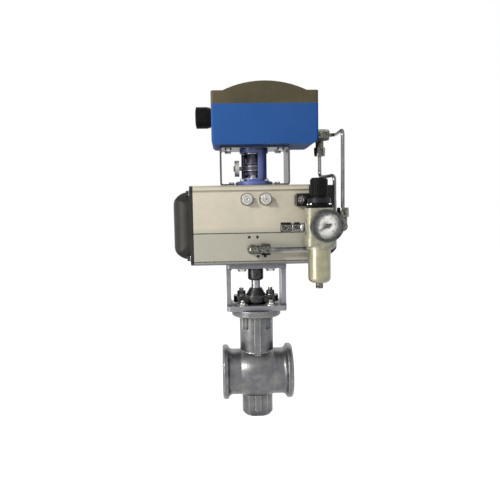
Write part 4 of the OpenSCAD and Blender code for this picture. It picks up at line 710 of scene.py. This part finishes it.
def make_parts(name, tree, spots, slot, finish=None, body=MAIN, **sizes):
    """Equal parts as one piece: a tree run over spots, which are in mm, as a plain mesh."""
    finish = finish or finishes[slot]
    seed = bpy.data.meshes.new(name + "_points")
    seed.from_pydata([STEM + Vector(spot) * MM for spot in spots], [], [])
    maker = bpy.data.objects.new(name + "_maker", seed)
    scene.collection.objects.link(maker)
    step = maker.modifiers.new("parts", "NODES")
    step.node_group = tree.tree
    step[tree.ids["Finish"]] = finish
    for key, value in sizes.items():
        step[tree.ids[key]] = value
    mesh = plain_mesh(maker)
    work = bmesh.new()
    work.from_mesh(mesh)
    bmesh.ops.remove_doubles(work, verts=work.verts, dist=WELD)
    bmesh.ops.recalc_face_normals(work, faces=work.faces)
    work.to_mesh(mesh)
    work.free()
    mesh.name = name
    solid(name, mesh, body, finish)


# Spots are in mm, from the stem's axis and up from the valve's middle line.
# rings, heads and m8_threads take their sizes in mm, and make_parts takes its in metres.
def rings(name, spots, outer, hole, thick, turn=UPRIGHT, slot="plated_steel", body=MAIN):
    """Flat rings, each with its middle on a spot."""
    make_parts(name, RINGS, spots, slot, body=body, Outer=outer * MM, Inner=hole * MM,
               Thickness=thick * MM, Turn=turn)


def heads(name, spots, wide, high, turn=UPRIGHT, slot="plated_steel"):
    """Screw heads, each with its foot on a spot."""
    make_parts(name, HEADS, spots, slot, Diameter=wide * MM, Height=high * MM, Turn=turn)


def m8_threads(name, spots, length, turn=UPRIGHT):
    """The thread that shows on an M8 bolt, each from its spot on."""
    ridge_radius = 3.85
    pitch = 1.25
    make_parts(name, THREADS, spots, "plated_steel", Radius=ridge_radius * MM,
               Length=length * MM, Pitch=pitch * MM, Turn=turn)


def pair(x, y, z):
    """One spot on each side of the stem."""
    return [(-x, y, z), (x, y, z)]


def corners(dx, dy, z):
    """Four spots at the corners of a rectangle round the stem."""
    return [(sx * dx, sy * dy, z) for sx in (-1, 1) for sy in (-1, 1)]


def round_corners(radius, z):
    """Four spots on a circle round the stem, at its diagonals."""
    turns = [math.radians(angle) for angle in (45, 135, 225, 315)]
    return [(radius * math.cos(turn), radius * math.sin(turn), z) for turn in turns]


# Yoke bolts: washers on both plates, and bolt ends over the lower one
M8_WASHER = 1.4
YOKE_BOLTS = 24.75
LOWER_PLATE_TOP = 124.0
UPPER_PLATE_UNDERSIDE = 190.0
BOLT_TIP_HEIGHT = 131.4
BOLT_THREAD_HEIGHT = 129.8
lower_washers = corners(YOKE_BOLTS, YOKE_BOLTS, LOWER_PLATE_TOP + M8_WASHER / 2)
upper_washers = corners(YOKE_BOLTS, YOKE_BOLTS, UPPER_PLATE_UNDERSIDE - M8_WASHER / 2)
rings("yoke_washers", lower_washers + upper_washers, outer=20, hole=8.4, thick=M8_WASHER)
rings("yoke_bolt_tips", corners(YOKE_BOLTS, YOKE_BOLTS, BOLT_TIP_HEIGHT), outer=7.6, hole=0.6,
      thick=4.4)
m8_threads("yoke_bolt_threads", corners(YOKE_BOLTS, YOKE_BOLTS, BOLT_THREAD_HEIGHT), length=3.2)

# Gland studs
GLAND_STUDS = 26
GLAND_FLANGE_TOP = 139.0
STUD_THREAD_HEIGHT = 147.2
rings("gland_washers", pair(GLAND_STUDS, 0, GLAND_FLANGE_TOP + M8_WASHER / 2), outer=16,
      hole=8.2, thick=M8_WASHER)
m8_threads("gland_threads", pair(GLAND_STUDS, 0, STUD_THREAD_HEIGHT), length=4.2)

# Screws in the feet of the top bracket and in the lantern's foot
FOOT_SCREWS = (40, 15)
FOOT_WASHER_HEIGHT = 336.5
LANTERN_SCREWS = 29.4
LANTERN_WASHER_HEIGHT = 341.4
rings("foot_washers", corners(*FOOT_SCREWS, FOOT_WASHER_HEIGHT), outer=11, hole=5.3, thick=1)
rings("lantern_washers", round_corners(LANTERN_SCREWS, LANTERN_WASHER_HEIGHT), outer=7.6,
      hole=4.2, thick=0.8)

# Travel stops, which stand out of the actuator's front
STOP_SCREWS = 15.5
STOP_HEIGHT = 309
STOP_THREAD_START = -70.0
STOP_WASHER_PLACE = -60.6
m8_threads("stop_threads", pair(STOP_SCREWS, STOP_THREAD_START, STOP_HEIGHT), length=6.4,
           turn=TO_FRONT)
rings("stop_washers", pair(STOP_SCREWS, STOP_WASHER_PLACE, STOP_HEIGHT), outer=18, hole=8.4,
      thick=M8_WASHER, turn=TO_FRONT)

# Screws of the actuator's end caps
CAP_WASHERS = 111.6
CAP_SCREWS_ACROSS = 50
CAP_SCREWS_UP = 54
ACTUATOR_MIDDLE = 266
cap_screws = [(side * CAP_WASHERS, across, ACTUATOR_MIDDLE + up) for side in (-1, 1)
              for across in (-CAP_SCREWS_ACROSS, CAP_SCREWS_ACROSS)
              for up in (-CAP_SCREWS_UP, CAP_SCREWS_UP)]
rings("cap_washers", cap_screws, outer=13, hole=6.4, thick=1, turn=TO_RIGHT)

# Positioner: grip ribs of the plug in its cable entry
CONDUIT = (-89.4, 0, 452.8)
make_parts("conduit_ribs", RIBS, [CONDUIT], "black_plastic", Radius=17.9 * MM, Count=28,
           Depth=1.0 * MM, Width=2.2 * MM, Length=20 * MM, Turn=TO_LEFT)

# Filter regulator: bonnet screws, necks of the inlet union, and the screw in its bracket
REGULATOR = Vector((96.6, -105, 0))
BONNET_SCREWS = (15.2, 13.8)
BONNET_SCREW_HEIGHT = 298
INLET_HEIGHT = 263
INLET_NECK = 54.1
INLET_BASE = 69.1
BRACKET_SCREW = Vector((73.0, -86.0, 306.5))
BRACKET_WASHER = BRACKET_SCREW + Vector((0, 0.6, 0))
bonnet_spots = [REGULATOR + Vector(spot) for spot in corners(*BONNET_SCREWS, BONNET_SCREW_HEIGHT)]
heads("bonnet_screws", bonnet_spots, wide=5, high=1.8)
rings("inlet_neck", [(INLET_NECK, REGULATOR.y, INLET_HEIGHT)], outer=12.8, hole=11.0, thick=4.8,
      turn=TO_RIGHT, slot="machined_steel")
rings("inlet_base", [(INLET_BASE, REGULATOR.y, INLET_HEIGHT)], outer=13.8, hole=12.0, thick=7.6,
      turn=TO_RIGHT, slot="machined_steel")
rings("bracket_washer", [BRACKET_WASHER], outer=14, hole=5, thick=1.2, turn=TO_FRONT,
      slot="black_fitting")
heads("bracket_screw", [BRACKET_SCREW], wide=10, high=3.6, turn=TO_FRONT, slot="black_fitting")

# Collars that turn with the stem
COLLAR_HEIGHTS = (360.0, 367.2, 389.0)
STUB_HEIGHT = 346.5
rings("coupling_collars", [(0, 0, z) for z in COLLAR_HEIGHTS], outer=39.6, hole=37.6, thick=1.1,
      body="stem_train")
rings("stub_collar", [(0, 0, STUB_HEIGHT)], outer=28, hole=18, thick=4, body="stem_train")

# Gauge dial: enamelled disc, marks and plain numbers. FIRST_MARK and MARK_SWEEP are in degrees
DIAL = Vector((101.6, -146.2, 266.0))
MARKS = DIAL - Vector((0, 0.25, 0))
NUMBERS = DIAL - Vector((0, 0.3, 0))
LAST_NUMBER = 10
FIRST_MARK = 225
MARK_SWEEP = 270
make_parts("dial_face", RINGS, [DIAL], "light_plastic", dial_enamel, Outer=40.4 * MM,
           Inner=3 * MM, Thickness=0.4 * MM, Turn=TO_FRONT)


def dial_marks(name, count, radius, length, width):
    """Marks along the dial's arc, from its lower left round to its lower right."""
    make_parts(name, TICKS, [MARKS], "needle_black", ink, Radius=radius * MM, Count=count,
               Start=math.radians(FIRST_MARK - MARK_SWEEP), Sweep=math.radians(MARK_SWEEP),
               Length=length * MM, Width=width * MM, Height=0.12 * MM, Turn=TO_FRONT)


def dial_numbers():
    """Plain even numbers inside the marks."""
    radius = 11.8
    size = 3.8
    relief = 0.06
    upright = Matrix.Rotation(QUARTER, 4, "X")
    whole = bmesh.new()
    for number in range(0, LAST_NUMBER + 1, 2):
        angle = math.radians(FIRST_MARK - MARK_SWEEP * number / LAST_NUMBER)
        curve = bpy.data.curves.new("number", "FONT")
        curve.body = str(number)
        curve.size = size * MM
        curve.align_x = "CENTER"
        curve.align_y = "CENTER"
        curve.extrude = relief * MM
        holder = bpy.data.objects.new("number", curve)
        scene.collection.objects.link(holder)
        mesh = plain_mesh(holder)
        spot = NUMBERS + Vector((math.cos(angle), 0, math.sin(angle))) * radius
        mesh.transform(Matrix.Translation(STEM + spot * MM) @ upright)
        whole.from_mesh(mesh)
        bpy.data.meshes.remove(mesh)
    made = bpy.data.meshes.new("dial_numbers")
    whole.to_mesh(made)
    whole.free()
    solid("dial_numbers", made, MAIN, ink)


dial_marks("dial_major", count=11, radius=16.6, length=3.0, width=0.7)
dial_marks("dial_minor", count=51, radius=17.3, length=1.6, width=0.3)
dial_numbers()


def closing_springs():
    """Each spring as a piece of its own, its coils welded, in place of the model's spring."""
    coil_weld = 0.001 * MM
    for name, far_end in (("left_spring", 0), ("right_spring", 1)):
        whole = bmesh.new()
        whole.from_mesh(nodes[name].data)
        bmesh.ops.remove_doubles(whole, verts=whole.verts, dist=coil_weld)
        mesh = bpy.data.meshes.new(name + "_coils")
        whole.to_mesh(mesh)
        whole.free()
        coils = solid(name + "_coils", mesh, MAIN, finishes["spring_coat"])
        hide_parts(name)
        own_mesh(coils)


closing_springs()
